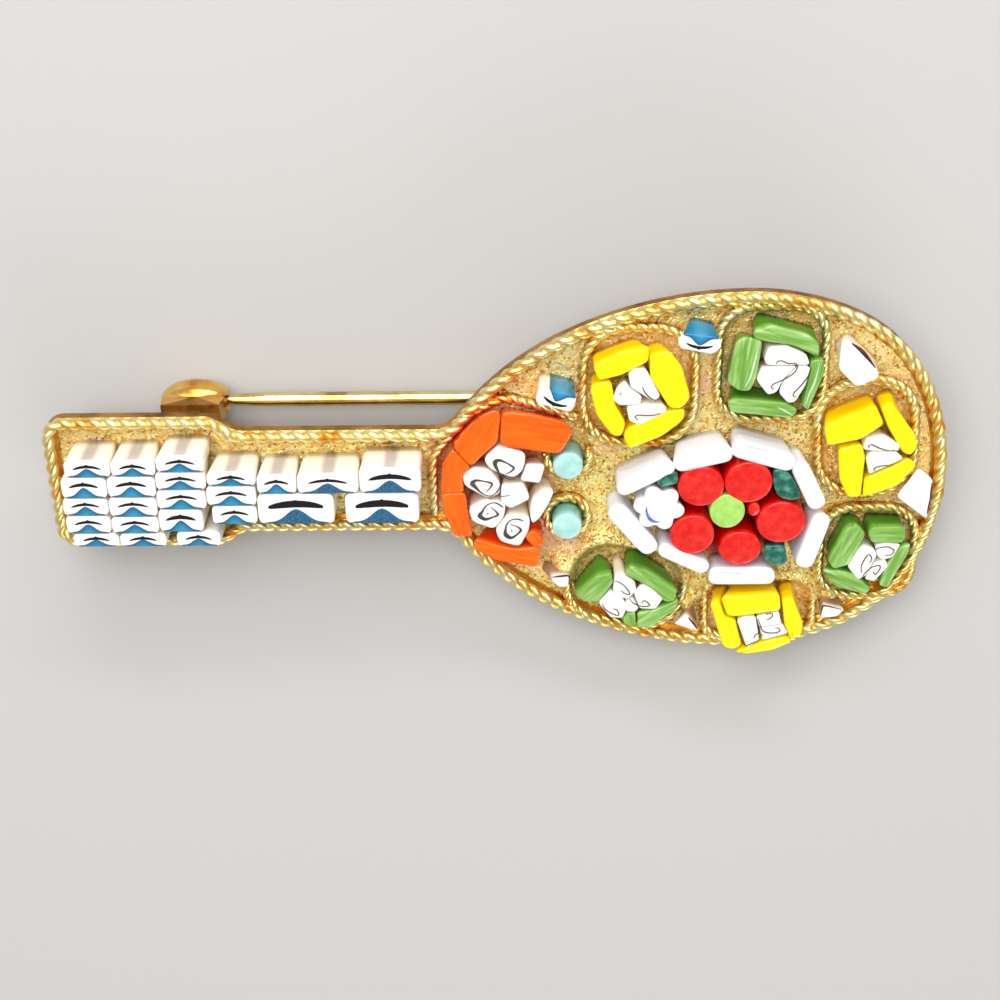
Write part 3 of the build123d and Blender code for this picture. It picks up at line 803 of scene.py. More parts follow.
def oval(x, y, half_wide, half_high):
    """The outline of a rod's end, slightly flattened: a cosine by a sine about its middle."""
    angle = np.linspace(0, 2 * np.pi, 48, endpoint=False)
    return np.stack([x + half_wide * np.cos(angle), y + half_high * np.sin(angle)], 1)


facing_share = 0.9
far = 1e3


def pressed(nodes, reach, most, count=56, gap=0.06, drawn=()):
    """The blocks of some nodes with their tops stretched until they nearly touch.

    Each side of a top, in the block's own two directions, moves out by half of what the clearance
    before it leaves beyond the gap, if that is within reach, and by no more than most. What counts
    as before it lies within a share of its width. The points behind it follow in proportion to
    their distance from the middle. A listed, drawn outline takes the place of the block's that lies
    nearest, begins beside its first point and stays as it is. Gives, for each node, its blocks as the
    outline at the foot, the outline at the top and the two heights."""
    found = [
        [name, *top_outline(solid, count, easing)]
        for name, easing in nodes for solid in loose_solids(name)]
    lines = [line for name, line, foot, top in found]
    still = []
    for node_name, corners in drawn:
        rim = eased(np.array(corners, float), count, dict(nodes)[node_name])
        number = min(
            (k for k, block in enumerate(found) if block[0] == node_name and k not in still),
            key=lambda k: np.hypot(*(found[k][1].mean(0) - rim.mean(0))))
        lines[number] = min(
            (np.roll(rim, turn, axis=0) for turn in range(count)),
            key=lambda line: ((line - found[number][1]) ** 2).sum())
        still.append(number)
    for passing in range(2):
        grown = []
        for number, line in enumerate(lines):
            if number in still:
                grown.append(line)
                continue
            middle, longest = own_axes(line)
            turn = np.stack([longest, (-longest[1], longest[0])])
            own = (line - middle) @ turn.T
            near = [(other - middle) @ turn.T for k, other in enumerate(lines) if k != number]
            near = np.vstack(near + [[(far, 0), (-far, 0), (0, far), (0, -far)]])
            for axis, sign in [(0, 1), (0, -1), (1, 1), (1, -1)]:
                ahead, beside = own[:, axis] * sign, own[:, 1 - axis]
                half_width = facing_share * np.abs(beside).max()
                band = (np.abs(near[:, 1 - axis]) < half_width) & (near[:, axis] * sign > 0)
                face = np.flatnonzero(ahead > 0)
                face = face[np.argsort(beside[face])]
                edge_here = np.interp(near[band, 1 - axis], beside[face], ahead[face])
                clearance = (near[band, axis] * sign - edge_here).min()
                growth = np.clip((clearance - gap) / 2, 0, most) if clearance < reach else 0
                own[:, axis] += sign * growth * np.clip(ahead / ahead.max(), 0, 1)
            grown.append(middle + own @ turn)
        lines = grown
    blocks = {name: [] for name, easing in nodes}
    for (name, line, foot, top), wider in zip(found, lines):
        blocks[name].append((line, wider, foot, top))
    return blocks


glass_dice = np.random.default_rng(21)
usual_tilt = 0.02
arris_steps = np.linspace(0, np.pi / 2, 5)


def tessera(foot_line, top_line, foot, top, arris, dome, rings):
    """A glass block from the outlines of its foot and top: its side, a quarter-round arris, a dome.

    The side runs straight from one outline to the other. Rings of the upper one are moved in by
    one less the cosine of the arris's angle and up by its sine, times its radius. The top's rings
    shrink to the middle while the dome rises as one less the square of their share, and lean a
    little, each block by chance."""
    middle = (top_line.max(0) + top_line.min(0)) / 2
    levels = []
    for share in np.linspace(0, 1, 4):
        level = foot_line + share * (top_line - foot_line)
        levels.append(np.c_[level, np.full(len(level), foot + (top - arris - foot) * share)])
    for angle in arris_steps[1:]:
        levels.append(np.c_[
            inset(top_line, arris * (1 - math.cos(angle))),
            np.full(len(top_line), top - arris * (1 - math.sin(angle)))])
    crown = inset(top_line, arris)
    tilt = glass_dice.normal(0, usual_tilt, 2)
    for share in np.linspace(1, 0.1, rings)[1:]:
        ring = middle + (crown - middle) * share
        lean = (ring - middle) @ tilt * (1 - share)
        levels.append(np.c_[ring, top + dome * (1 - share ** 2) + lean])
    return skin(np.stack(levels), False)


def smooth_line(points, count):
    """A curve through points, whose last column is its width: a cubic between each two, whose
    direction at each point is half the step from the one before to the one after."""
    rows = np.vstack([2 * points[0] - points[1], points, 2 * points[-1] - points[-2]])
    before, here, ahead, after = rows[:-3, None], rows[1:-2, None], rows[2:-1, None], rows[3:, None]
    t = np.linspace(0, 1, count, endpoint=False)[None, :, None]
    curve = 0.5 * (
        2 * here + (ahead - before) * t + (2 * before - 5 * here + 4 * ahead - after) * t ** 2
        + (3 * here - before - 3 * ahead + after) * t ** 3)
    return np.vstack([curve.reshape(-1, rows.shape[1]), points[-1]])


top_share = 0.6
glass_reach = 0.09
line_rise = 0.004
line_half_height = 0.022


def stroke_on(tops, points, width):
    """A line laid in a glass top, dark, pale or a painted highlight: a flat oval section carried along a
    smooth curve.

    The line stands a little above the nearest point of the glass, ends where the glass does, and
    thins at both ends as a low power of a sine."""
    table = np.array(points, float)
    if table.shape[1] == 2:
        table = np.c_[table, np.full(len(table), width)]
    curve = smooth_line(table, 10)
    apart = ((curve[:, None, :2] - tops[None, :, :2]) ** 2).sum(-1)
    nearest = apart.argmin(1)
    height = tops[nearest, 2]
    on_glass = np.flatnonzero(apart.min(1) < glass_reach ** 2)
    if len(on_glass) < 4:
        return []
    kept = slice(on_glass[0], on_glass[-1] + 1)
    curve, height = curve[kept], height[kept]
    for passing in range(6):
        height = np.convolve(np.pad(height, 1, mode="edge"), (0.25, 0.5, 0.25), mode="valid")
    way = headings(curve[:, :2], False)
    side = np.c_[-way[:, 1], way[:, 0], np.zeros(len(way))]
    taper = np.sin(np.pi * np.linspace(0.06, 0.94, len(curve))) ** 0.35
    half = (curve[:, 2] * taper / 2)[:, None, None]
    around = np.linspace(0, 2 * np.pi, 8, endpoint=False)[None, :, None]
    middle = np.c_[curve[:, :2], height + line_rise]
    rise = np.array([0, 0, line_half_height])
    grid = middle[:, None] + np.cos(around) * half * side[:, None] + np.sin(around) * rise
    return [skin(grid, False)]


def glass_piece(
        node_name, blocks, materials, arris=0.14, dome=0.05, flare=0.0, strokes=(), width=0.07,
        picture=None, rings=9):
    """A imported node's glass as one piece, with each block's own place in its attributes.

    cane holds the distance along and across the block from its middle and the height, in mm, deep
    the depth below its top, tone a number from 0 to 1 for each block, and picture what the function
    of that name gives. Strokes lie on the tops, down to a share of the arris."""
    parts, cane, deep, tone, pictures = [], [], [], [], []
    for foot_line, top_line, foot, top in blocks[node_name]:
        top_line = inset(top_line, -flare)
        points, faces = tessera(foot_line, top_line, foot, top, arris, dome, rings)
        middle, longest = own_axes(top_line)
        offset = points[:, :2] - middle
        across = np.array([-longest[1], longest[0]])
        cane.append(np.stack([offset @ longest, offset @ across, points[:, 2]], 1))
        deep.append(top - points[:, 2])
        tone.append(np.full(len(points), glass_dice.uniform()))
        pictures.append(picture(points, top_line) if picture else np.zeros((len(points), 3)))
        parts.append((points, faces))
    tops = np.vstack([
        points[depth < top_share * arris] for (points, faces), depth in zip(parts, deep)])
    glass_faces = sum(len(faces) for points, faces in parts)
    for points in strokes:
        for line_points, line_faces in stroke_on(tops, points, width):
            parts.append((line_points, line_faces))
            cane.append(line_points)
            deep.append(np.zeros(len(line_points)))
            tone.append(np.zeros(len(line_points)))
            pictures.append(np.zeros((len(line_points), 3)))
    points, faces = gathered(parts)
    face_finish = np.zeros(len(faces), np.int32)
    face_finish[glass_faces:] = 1
    piece(node_name + "_glass", points, faces, materials, {
        "cane": np.vstack(cane), "deep": np.concatenate(deep), "tone": np.concatenate(tone),
        "picture": np.vstack(pictures)}, node_name, face_finish)


# Opaque glass is coloured through and glossy, and light goes a little way into it. Drawn in rods, it
# shows faint streaks about 0.2 mm wide and 2 mm long, and on rods' ends a mottle of 0.5 mm.
mottled = (1.0, 1.0, 0.3)


def opaque_glass(name, deep, body, pale, side, glow, grain=(0.25, 2.6, 0.3)):
    """Opaque glass drawn in rods: faint streaks along each block, between three colours, and a
    fourth, painted shade, that its sides turn to below the arris. Grain says how often they
    change, along the block, across it and upwards."""
    material = finish_named(name)
    cane = add(material, "Attribute", {"attribute_name": "cane"}, {})
    tone = add(material, "Attribute", {"attribute_name": "tone"}, {})
    stretch = add(material, "Mapping", {}, {
        "Vector": cane.outputs["Vector"], "Scale": grain})
    streaks = add(material, "TexNoise", {"noise_dimensions": "4D"}, {
        "Vector": stretch, "W": tone.outputs["Fac"], "Scale": 2.0, "Detail": 3.0})
    ramp = add(material, "ValToRGB", {}, {"Fac": streaks}, [(0.3, deep), (0.47, body), (0.72, pale)])
    depth = add(material, "Attribute", {"attribute_name": "deep"}, {})
    # Painted shade: below the arris the sides turn to the fourth colour
    side_shade_share = add(material, "MapRange", {}, {
        "Value": depth.outputs["Fac"], "From Min": 0.06, "From Max": 0.5})
    tinted = add(material, "Mix", {"data_type": "RGBA"}, {
        0: side_shade_share, 6: ramp, 7: colour(side)})
    waves = add(material, "TexNoise", {}, {
        "Vector": cane.outputs["Vector"], "Scale": 3.0, "Detail": 2.0})
    bump = add(material, "Bump", {}, {
        "Strength": 0.6, "Distance": 0.02 * MM, "Height": waves})
    glass = add(material, "BsdfPrincipled", {}, {
        "Base Color": tinted.outputs[2], "Roughness": 0.2, "IOR": 1.51,
        "Subsurface Weight": glow, "Subsurface Radius": (1.0, 0.5, 0.25),
        "Subsurface Scale": 0.5 * MM, "Normal": bump})
    add(material, "OutputMaterial", {}, {"Surface": glass})
    return material


# The fourth colour of each glass is the painted shade of its sides
yellow = opaque_glass("opaque_yellow_glass", "FFEA00", "FFF200", "FFF800", "FFD000", 0.1)
green = opaque_glass("opaque_green_glass", "68A038", "86B952", "BCE098", "4E8A26", 0.08)
orange = opaque_glass("opaque_orange_glass", "FA5800", "FF6A00", "FF7C0C", "F43C00", 0.1)
red = opaque_glass("opaque_red_glass", "DC0C0A", "EA2018", "F23E32", "CE0006", 0.1, mottled)
lime = opaque_glass("opaque_lime_glass", "9ED858", "AEE26A", "BEEC86", "D8E060", 0.1, mottled)
turquoise = opaque_glass("opaque_turquoise_glass", "A2DAD2", "B4E6E0", "CCF0EC", "7CC0B8", 0.1, mottled)
dark_green = opaque_glass("opaque_dark_green_glass", "0E4A3C", "1E6A58", "6AAE9C", "0A3A30", 0.04, mottled)
white = opaque_glass("opaque_white_glass", "FAF7F0", "FEFDFA", "FFFFFF", "FBF3E8", 0.15)
# Painted shadow: this white's sides turn dark brown on the low corner stones
shaded_white = opaque_glass("opaque_white_glass_dark_side", "FAF7F0", "FEFDFA", "FFFFFF", "B08C6C", 0.05)
ivory = opaque_glass("opaque_ivory_glass", "FBF5EA", "FEFBF5", "FFFFFF", "F2E2CA", 0.15)
cool_white = opaque_glass("opaque_cool_white_glass", "F2F5FB", "FBFCFF", "FFFFFF", "E8EAF4", 0.15)

# The hearts' white rods hold a thin brown line that shows at their ends as a hook, and the orange
# flower's a thicker smoky one, drawn as a drop with a tail
brown_line = opaque_glass("smoky_brown_glass_line", "2E1A14", "4A2E24", "5E4236", "2E1A14", 0.0)
grey_line = opaque_glass("smoky_grey_glass_line", "38342F", "4A4641", "5E5953", "38342F", 0.0)
blue_line = opaque_glass("violet_blue_glass_line", "2C4AC0", "4A68D8", "7890E6", "2C4AC0", 0.0)
pale_line = opaque_glass("pale_blue_glass_line", "A8B4C4", "B8C4D2", "CAD4E0", "A8B4C4", 0.0)
# Painted highlight: a pale green line that stands in for the light along the northern flower's bars
green_highlight_line = opaque_glass("painted_green_highlight_line", "BCE8B0", "CCF0C0", "DCF8D0", "BCE8B0", 0.0)
maroon_line = opaque_glass("dark_maroon_glass_line", "2A1414", "4A2422", "6E3E38", "2A1414", 0.0)

# Painted highlights: pale green streaks laid on three of the northern flower's bars. Columns: x, y and
# width in mm
green_highlight_strokes = [
    [(14.1, 8.7, 0.05), (13.95, 7.8, 0.12), (13.75, 6.8, 0.12), (13.5, 6.2, 0.06)],
    [(17.35, 7.6, 0.05), (17.2, 6.6, 0.1), (16.95, 5.85, 0.1), (16.8, 5.2, 0.06)],
    [(15.3, 5.0, 0.06), (15.7, 4.8, 0.1), (16.15, 4.5, 0.05)],
]

# Hooks by flower. Columns: x and y in the brooch's frame, and for the orange flower the line's
# width, all in mm
hooks = {
    "northwest": [
        [(7.85, 4.32), (7.7, 4.5), (7.86, 4.61), (8.3, 4.59), (8.7, 4.6), (9.05, 4.7)],
        [(6.86, 5.86), (6.92, 5.95)],
        [(8.05, 6.3), (8.2, 5.95), (8.5, 5.62), (8.75, 5.5), (9.0, 5.62)],
    ],
    "north": [
        [(15.08, 7.58), (15.15, 7.74), (15.4, 7.75), (15.72, 7.6), (16.08, 7.6), (16.2, 7.36),
         (16.05, 7.05), (15.7, 6.75), (15.3, 6.55), (15.0, 6.4), (14.9, 6.2), (15.05, 6.1)],
        [(16.7, 7.5), (16.9, 7.3), (16.85, 6.95), (16.6, 6.5), (16.3, 6.1), (16.1, 5.85), (16.1, 5.68),
         (16.25, 5.65)],
    ],
    "northeast": [
        [(20.4, 2.5), (20.36, 2.62), (20.52, 2.7), (20.8, 2.56), (21.1, 2.42), (21.5, 2.31), (21.8, 2.36)],
        [(20.85, 1.05), (20.76, 1.2), (21.0, 1.35), (21.4, 1.4), (21.7, 1.42), (22.1, 1.52), (22.3, 1.7)],
    ],
    "southeast": [
        [(20.64, -5.5), (20.6, -5.1), (20.7, -4.7), (20.86, -4.38), (21.0, -4.3), (21.14, -4.6),
         (21.04, -4.85)],
        [(20.7, -5.88), (20.8, -5.6), (21.0, -5.34), (21.3, -5.1), (21.6, -5.02), (21.66, -5.2),
         (21.52, -5.52), (21.4, -5.6), (21.28, -5.4)],
        [(21.3, -4.0), (21.5, -3.86), (21.9, -3.79), (22.2, -3.9), (22.34, -4.08), (22.2, -4.3),
         (21.86, -4.34)],
    ],
    "south": [
        [(13.6, -8.0), (13.8, -8.6), (13.95, -9.1), (14.05, -9.5), (14.25, -9.86), (14.6, -9.7),
         (15.0, -9.5)],
        [(14.72, -9.36), (14.75, -9.16), (14.92, -9.05), (15.1, -9.09), (15.2, -9.26)],
        [(14.85, -8.0), (15.0, -8.4), (15.15, -8.8), (15.4, -8.95), (15.9, -8.98), (16.15, -8.85),
         (16.05, -8.66), (15.85, -8.65)],
        [(14.95, -7.72), (15.3, -7.72), (15.65, -7.7), (15.6, -7.95), (15.36, -8.08)],
    ],
    "southwest": [
        [(6.75, -5.87), (7.0, -5.95), (7.3, -6.2), (7.5, -6.5), (7.6, -6.75), (7.35, -6.72), (7.1, -6.5)],
        [(7.6, -7.1), (7.8, -7.35), (8.1, -7.54), (8.5, -7.6), (8.74, -7.54), (8.6, -7.3), (8.4, -7.2),
         (8.3, -7.4)],
        [(6.05, -7.4), (6.2, -7.75), (6.5, -8.0), (6.9, -8.2), (7.0, -8.1), (6.86, -7.8), (6.66, -7.75)],
    ],
}
orange_hooks = [
    [(0.7, 1.22, 0.08), (0.95, 1.36, 0.12), (1.12, 1.6, 0.16), (0.75, 1.9, 0.1), (0.35, 2.08, 0.18),
     (0.12, 1.96, 0.26), (0.14, 1.7, 0.2), (0.35, 1.25, 0.1), (0.65, 0.96, 0.08), (1.0, 0.88, 0.11),
     (1.4, 1.02, 0.08), (1.6, 1.35, 0.1), (1.72, 1.75, 0.1)],
    [(-0.4, 0.12, 0.08), (-0.2, 0.35, 0.11), (-0.1, 0.62, 0.16), (-0.5, 0.77, 0.09), (-0.95, 0.83, 0.16),
     (-1.16, 0.64, 0.28), (-1.0, 0.4, 0.2), (-0.75, 0.1, 0.1), (-0.45, -0.12, 0.07), (-0.15, -0.16, 0.07),
     (0.1, 0.0, 0.08), (0.3, 0.28, 0.14), (0.4, 0.6, 0.14)],
    [(-0.2, -0.9, 0.07), (0.0, -1.05, 0.09), (0.2, -1.36, 0.17), (-0.1, -1.52, 0.12), (-0.5, -1.64, 0.2),
     (-0.8, -1.42, 0.26), (-0.66, -1.15, 0.14), (-0.45, -0.8, 0.09), (-0.1, -0.61, 0.08),
     (0.2, -0.66, 0.14), (0.5, -0.9, 0.12)],
    [(0.9, -2.0, 0.07), (1.2, -2.1, 0.09), (1.46, -2.36, 0.17), (1.2, -2.68, 0.12), (0.9, -2.86, 0.2),
     (0.62, -2.66, 0.26), (0.6, -2.35, 0.14), (0.7, -1.95, 0.09), (0.95, -1.7, 0.08), (1.3, -1.66, 0.12),
     (1.6, -1.78, 0.12)],
    [(-0.4, -1.3, 0.1), (-0.32, -1.26, 0.1)],
    [(0.91, -2.42, 0.1), (0.99, -2.38, 0.1)],
    [(-0.8, -0.36, 0.05), (-0.4, -0.37, 0.05), (-0.05, -0.3, 0.05)],
    [(0.2, -0.28, 0.1), (0.5, -0.2, 0.05), (0.9, -0.12, 0.04)],
    [(0.88, -1.3, 0.04), (0.84, -1.1, 0.08), (1.2, -1.08, 0.05), (1.55, -1.05, 0.04)],
]

# The six flowers: outer bars of yellow or green round white hearts. Their tops, first the bars' and
# then the heart's, go round clockwise from the north, as a few corners each in the brooch's frame
flower_tops = {
    "northwest": ([
        [(5.4, 7.5), (6.9, 8.35), (8.35, 8.65), (8.35, 7.75), (6.9, 6.95), (5.7, 6.65)],
        [(8.4, 8.1), (9.4, 8.4), (10.1, 7.5), (10.65, 5.6), (10.2, 4.95), (9.55, 4.95), (8.45, 6.8)],
        [(7.05, 3.3), (7.4, 3.85), (9.4, 4.8), (10.4, 4.9), (10.3, 4.25), (9.15, 3.25), (7.4, 2.5)],
        [(5.25, 6.2), (5.7, 6.55), (6.4, 6.6), (6.6, 5.2), (7.2, 4.1), (7.0, 3.3), (6.5, 3.3), (5.6, 4.6)],
    ], [
        [(7.3, 7.05), (7.65, 7.35), (8.2, 7.3), (9.0, 5.7), (8.7, 5.4), (7.45, 6.25)],
        [(6.5, 5.55), (6.7, 6.2), (7.1, 6.6), (7.4, 6.15), (8.0, 5.7), (7.95, 5.25), (6.85, 5.2)],
        [(7.25, 5.05), (7.9, 5.2), (9.25, 5.15), (9.4, 4.85), (7.95, 4.0), (7.4, 4.25)],
    ]),
    "north": ([
        [(13.7, 9.4), (14.65, 9.8), (16.6, 9.25), (17.3, 8.65), (17.3, 7.9), (15.9, 8.6), (13.9, 8.95)],
        [(12.9, 8.85), (13.4, 9.15), (14.3, 8.9), (14.1, 6.75), (13.8, 5.95), (13.2, 5.95), (12.55, 6.5)],
        [(12.6, 5.3), (13.0, 5.55), (15.7, 5.25), (16.45, 4.8), (16.1, 4.3), (12.8, 4.7)],
        [(16.9, 7.75), (17.6, 7.8), (17.65, 6.9), (16.95, 4.75), (16.6, 5.05), (16.85, 6.3)],
    ], [
        [(14.45, 7.8), (14.65, 8.5), (15.55, 8.6), (16.6, 8.1), (16.85, 7.5), (14.6, 7.5)],
        [(14.1, 6.65), (14.35, 7.35), (16.15, 7.4), (15.45, 6.6), (15.2, 5.9), (14.75, 5.75)],
        [(16.25, 7.4), (16.9, 7.4), (16.7, 6.3), (16.2, 5.3), (15.85, 5.25), (15.35, 5.85), (15.5, 6.45)],
    ]),
    "northeast": ([
        [(17.85, 3.75), (19.2, 4.45), (20.55, 5.05), (21.1, 3.9), (19.95, 3.0), (18.15, 2.6)],
        [(20.8, 4.95), (21.45, 5.1), (22.85, 3.2), (23.0, 2.45), (22.7, 1.95), (22.25, 2.15), (21.3, 3.75)],
        [(18.75, 2.4), (20.0, 2.7), (20.25, 1.9), (20.2, -0.6), (19.5, -0.65), (18.95, 0.5)],
        [(20.3, 0.55), (22.15, 1.5), (22.6, 1.85), (23.1, 1.35), (22.1, 0.05), (20.3, -0.65)],
    ], [
        [(20.1, 2.4), (20.25, 3.0), (21.2, 3.2), (22.05, 2.6), (22.0, 2.3), (20.7, 2.3)],
        [(20.3, 1.8), (20.55, 2.2), (21.85, 2.2), (22.3, 1.8), (20.55, 0.85)],
    ]),
    "southeast": ([
        [(19.4, -2.75), (20.15, -2.35), (20.7, -3.0), (19.95, -5.0), (19.05, -5.3), (18.7, -4.75)],
        [(20.8, -2.95), (21.0, -2.55), (22.7, -2.5), (22.95, -3.1), (22.75, -3.6), (21.05, -3.55)],
        [(22.7, -3.8), (23.25, -3.65), (23.2, -4.2), (22.2, -6.6), (21.7, -6.4), (22.0, -5.05)],
        [(18.4, -5.35), (19.4, -5.4), (20.2, -5.6), (21.3, -6.65), (21.0, -7.0), (19.3, -6.5)],
    ], [
        [(19.85, -5.1), (20.3, -4.1), (20.6, -3.75), (21.2, -3.95), (21.4, -4.4), (20.9, -5.7),
         (20.5, -6.0)],
        [(21.3, -3.75), (21.8, -3.6), (22.65, -3.7), (22.3, -4.5), (21.75, -4.7), (21.45, -4.4)],
        [(21.3, -4.95), (21.9, -4.7), (22.1, -5.1), (21.4, -6.1), (20.9, -5.95)],
    ]),
    "south": ([
        [(12.7, -6.6), (16.0, -6.35), (16.15, -7.5), (13.7, -7.9), (13.1, -7.85)],
        [(12.1, -7.0), (12.6, -6.8), (13.0, -7.95), (13.6, -8.1), (14.05, -9.9), (13.5, -10.2),
         (12.95, -9.95)],
        [(16.15, -6.75), (16.75, -6.6), (17.45, -8.4), (17.4, -9.2), (16.85, -9.55), (16.4, -8.5)],
        [(14.1, -10.15), (15.5, -9.55), (16.65, -9.3), (16.9, -9.7), (15.8, -10.25), (14.3, -10.5),
         (13.7, -10.35)],
    ], [
        [(13.7, -8.2), (14.05, -7.95), (14.7, -7.9), (15.0, -9.5), (14.35, -10.0)],
        [(14.8, -7.95), (16.0, -7.6), (16.2, -8.4), (15.0, -8.6)],
        [(15.05, -8.7), (16.3, -8.5), (16.6, -9.05), (15.2, -9.5)],
    ]),
    "southwest": ([
        [(4.45, -6.75), (5.65, -5.55), (6.55, -5.35), (6.65, -6.05), (5.8, -7.3), (5.0, -7.3)],
        [(7.25, -5.4), (7.65, -4.85), (8.85, -5.35), (10.3, -6.45), (10.2, -7.3), (9.6, -7.35),
         (8.4, -6.15)],
        [(8.05, -8.05), (9.1, -7.85), (10.4, -7.15), (10.3, -7.8), (8.8, -9.15), (8.1, -9.1)],
        [(7.2, -8.6), (7.5, -8.05), (7.95, -8.05), (8.0, -9.1), (7.65, -9.0)],
    ], [
        [(6.65, -6.5), (6.75, -5.7), (7.25, -5.55), (7.85, -5.95), (7.95, -6.55), (7.5, -7.1),
         (6.95, -6.95)],
        [(5.85, -7.35), (6.5, -6.55), (7.2, -7.1), (7.45, -7.65), (7.2, -8.4), (6.55, -8.35)],
        [(7.85, -6.75), (8.25, -6.15), (8.95, -6.35), (9.5, -7.05), (9.1, -7.8), (8.2, -7.75)],
        [(7.4, -7.35), (7.75, -7.1), (8.1, -7.75), (7.9, -8.0), (7.45, -7.95)],
    ]),
}
for flower, tops in flower_tops.items():
    bars, heart = f"{flower}_flower_bars", f"{flower}_flower_heart"
    drawn = [(node, corners) for node, outlines in zip((bars, heart), tops) for corners in outlines]
    flower_blocks = pressed([(bars, 2), (heart, 2)], 1.1, 0.3, drawn=drawn)
    if flower in ("northwest", "northeast", "south"):
        bar_glass, bar_slot = yellow, "yellow_glass"
    else:
        bar_glass, bar_slot = green, "green_glass"
    glass_piece(
        bars, flower_blocks, [bar_glass, green_highlight_line], arris=0.13, dome=0.02,
        strokes=green_highlight_strokes if flower == "north" else ())
    glass_piece(
        heart, flower_blocks, [ivory, brown_line], arris=0.1, dome=0.02, flare=0.03,
        strokes=hooks[flower])

# The orange flower at the body's narrow end: a ring of orange bars round four rolled white petals
# and three plain tails. Beside it a rod of turquoise glass stands in each of two bows of wire.
orange_outlines = [("orange_flower_bars", corners) for corners in [
    [(0.55, 5.0), (2.2, 4.8), (4.0, 4.3), (4.35, 3.7), (3.65, 2.4), (0.4, 2.95)],
    [(0.25, 3.15), (0.45, 5.0), (0.0, 5.1), (-1.2, 4.15), (-2.15, 2.85), (-1.2, 1.65), (-0.55, 2.4)],
    [(-1.25, 1.6), (-2.2, 2.75), (-2.75, 1.75), (-2.9, 0.0), (-1.65, 0.05), (-1.75, 1.0)],
    [(-1.6, 0.0), (-2.9, -0.05), (-2.75, -1.2), (-2.3, -2.75), (-1.25, -2.8), (-1.5, -1.2)],
    [(-1.15, -2.95), (0.0, -3.4), (1.1, -3.7), (2.5, -3.5), (2.4, -4.85), (0.0, -4.35), (-1.2, -3.6)],
]] + [("orange_flower_heart", corners) for corners in [
    [(0.3, 2.9), (1.75, 2.45), (1.65, 1.45), (1.1, 0.95), (-0.15, 1.5), (-0.5, 2.1)],
    [(-1.1, 1.55), (-0.2, 1.42), (0.32, 0.6), (0.32, -0.03), (-0.33, -0.33), (-1.58, 0.48), (-1.68, 1.1)],
    [(-0.55, -0.44), (0.62, -0.68), (0.5, -1.55), (-0.04, -2.3), (-1.2, -1.83), (-1.4, -1.05)],
    [(0.8, -1.42), (1.95, -1.62), (1.88, -2.4), (1.36, -3.46), (0.3, -3.1), (0.05, -2.35)],
    [(1.82, 1.72), (2.8, 1.69), (2.52, 0.62), (1.48, 0.78)],
    [(0.45, 0.48), (1.62, 0.55), (1.96, -0.4), (0.87, -1.0), (0.4, -0.55)],
    [(2.6, 0.05), (3.3, 0.1), (3.0, -0.7), (2.5, -1.6), (2.1, -2.0), (2.0, -1.3), (2.1, -0.5)],
]]
flower_blocks = pressed(
    [("orange_flower_bars", 3), ("orange_flower_heart", 5)], 0.5, 0.2, drawn=orange_outlines)
glass_piece(
    "orange_flower_bars", flower_blocks, [orange], arris=0.12, dome=0.02, flare=0.03)
glass_piece(
    "orange_flower_heart", flower_blocks, [ivory, grey_line], arris=0.12, dome=0.02,
    flare=0.04, strokes=orange_hooks)
for rod in ("turquoise_rod_north", "turquoise_rod_south"):
    glass_piece(rod, pressed([(rod, 0)], 0, 0), [turquoise], arris=0.12, dome=0.08)

# The pear is a ring of white bars round five red rods and a red splinter. A lime rod stands in the
# middle, dark green leaves between, and a white rod cut as a floret at the narrow end. Columns of
# the red rods: x and y of the middle, half the width and half the height, in mm
pear_outlines = [("pear_red_rods", oval(*place)) for place in [
    (11.36, 0.39, 1.27, 1.24), (13.94, 0.62, 1.31, 1.27), (15.86, -1.93, 1.35, 1.3),
    (13.67, -3.6, 1.18, 1.07), (10.99, -2.7, 1.22, 1.24), (14.33, -1.1, 0.33, 0.42)]]
pear_outlines += [
    ("pear_lime_rod", oval(12.86, -1.19, 0.97, 1.06)),
    ("pear_white_floret", oval(9.1, -1.0, 1.4, 1.38)),
]
pear_outlines += [("pear_green_leaves", corners) for corners in [
    [(15.2, 1.45), (16.0, 1.35), (16.5, 0.6), (16.9, -0.4), (16.3, -0.55), (15.6, -0.3), (15.3, 0.4)],
    [(15.0, -3.45), (16.15, -3.4), (16.4, -4.5), (15.9, -4.85), (15.1, -4.4)],
    [(8.9, 0.6), (9.3, 1.2), (10.05, 1.35), (10.1, 0.6), (9.2, 0.35)],
]]
pear_blocks = pressed([
    ("pear_white_bars", 5), ("pear_red_rods", 0), ("pear_lime_rod", 0), ("pear_green_leaves", 6),
    ("pear_white_floret", 4)], 1.1, 0.4, drawn=pear_outlines)
# Fine pale lines in the white bars
bar_lines = [
    [(9.5, 2.8), (10.6, 2.92), (11.9, 3.12)],
    [(13.67, 2.95), (14.01, 2.83), (14.42, 2.74), (15.1, 2.48)],
    [(12.34, -5.18), (13.18, -5.15), (13.89, -5.24)],
    [(7.12, 1.02), (7.86, 1.56), (8.53, 1.87)],
    [(16.9, 2.2), (17.3, 1.4)],
]
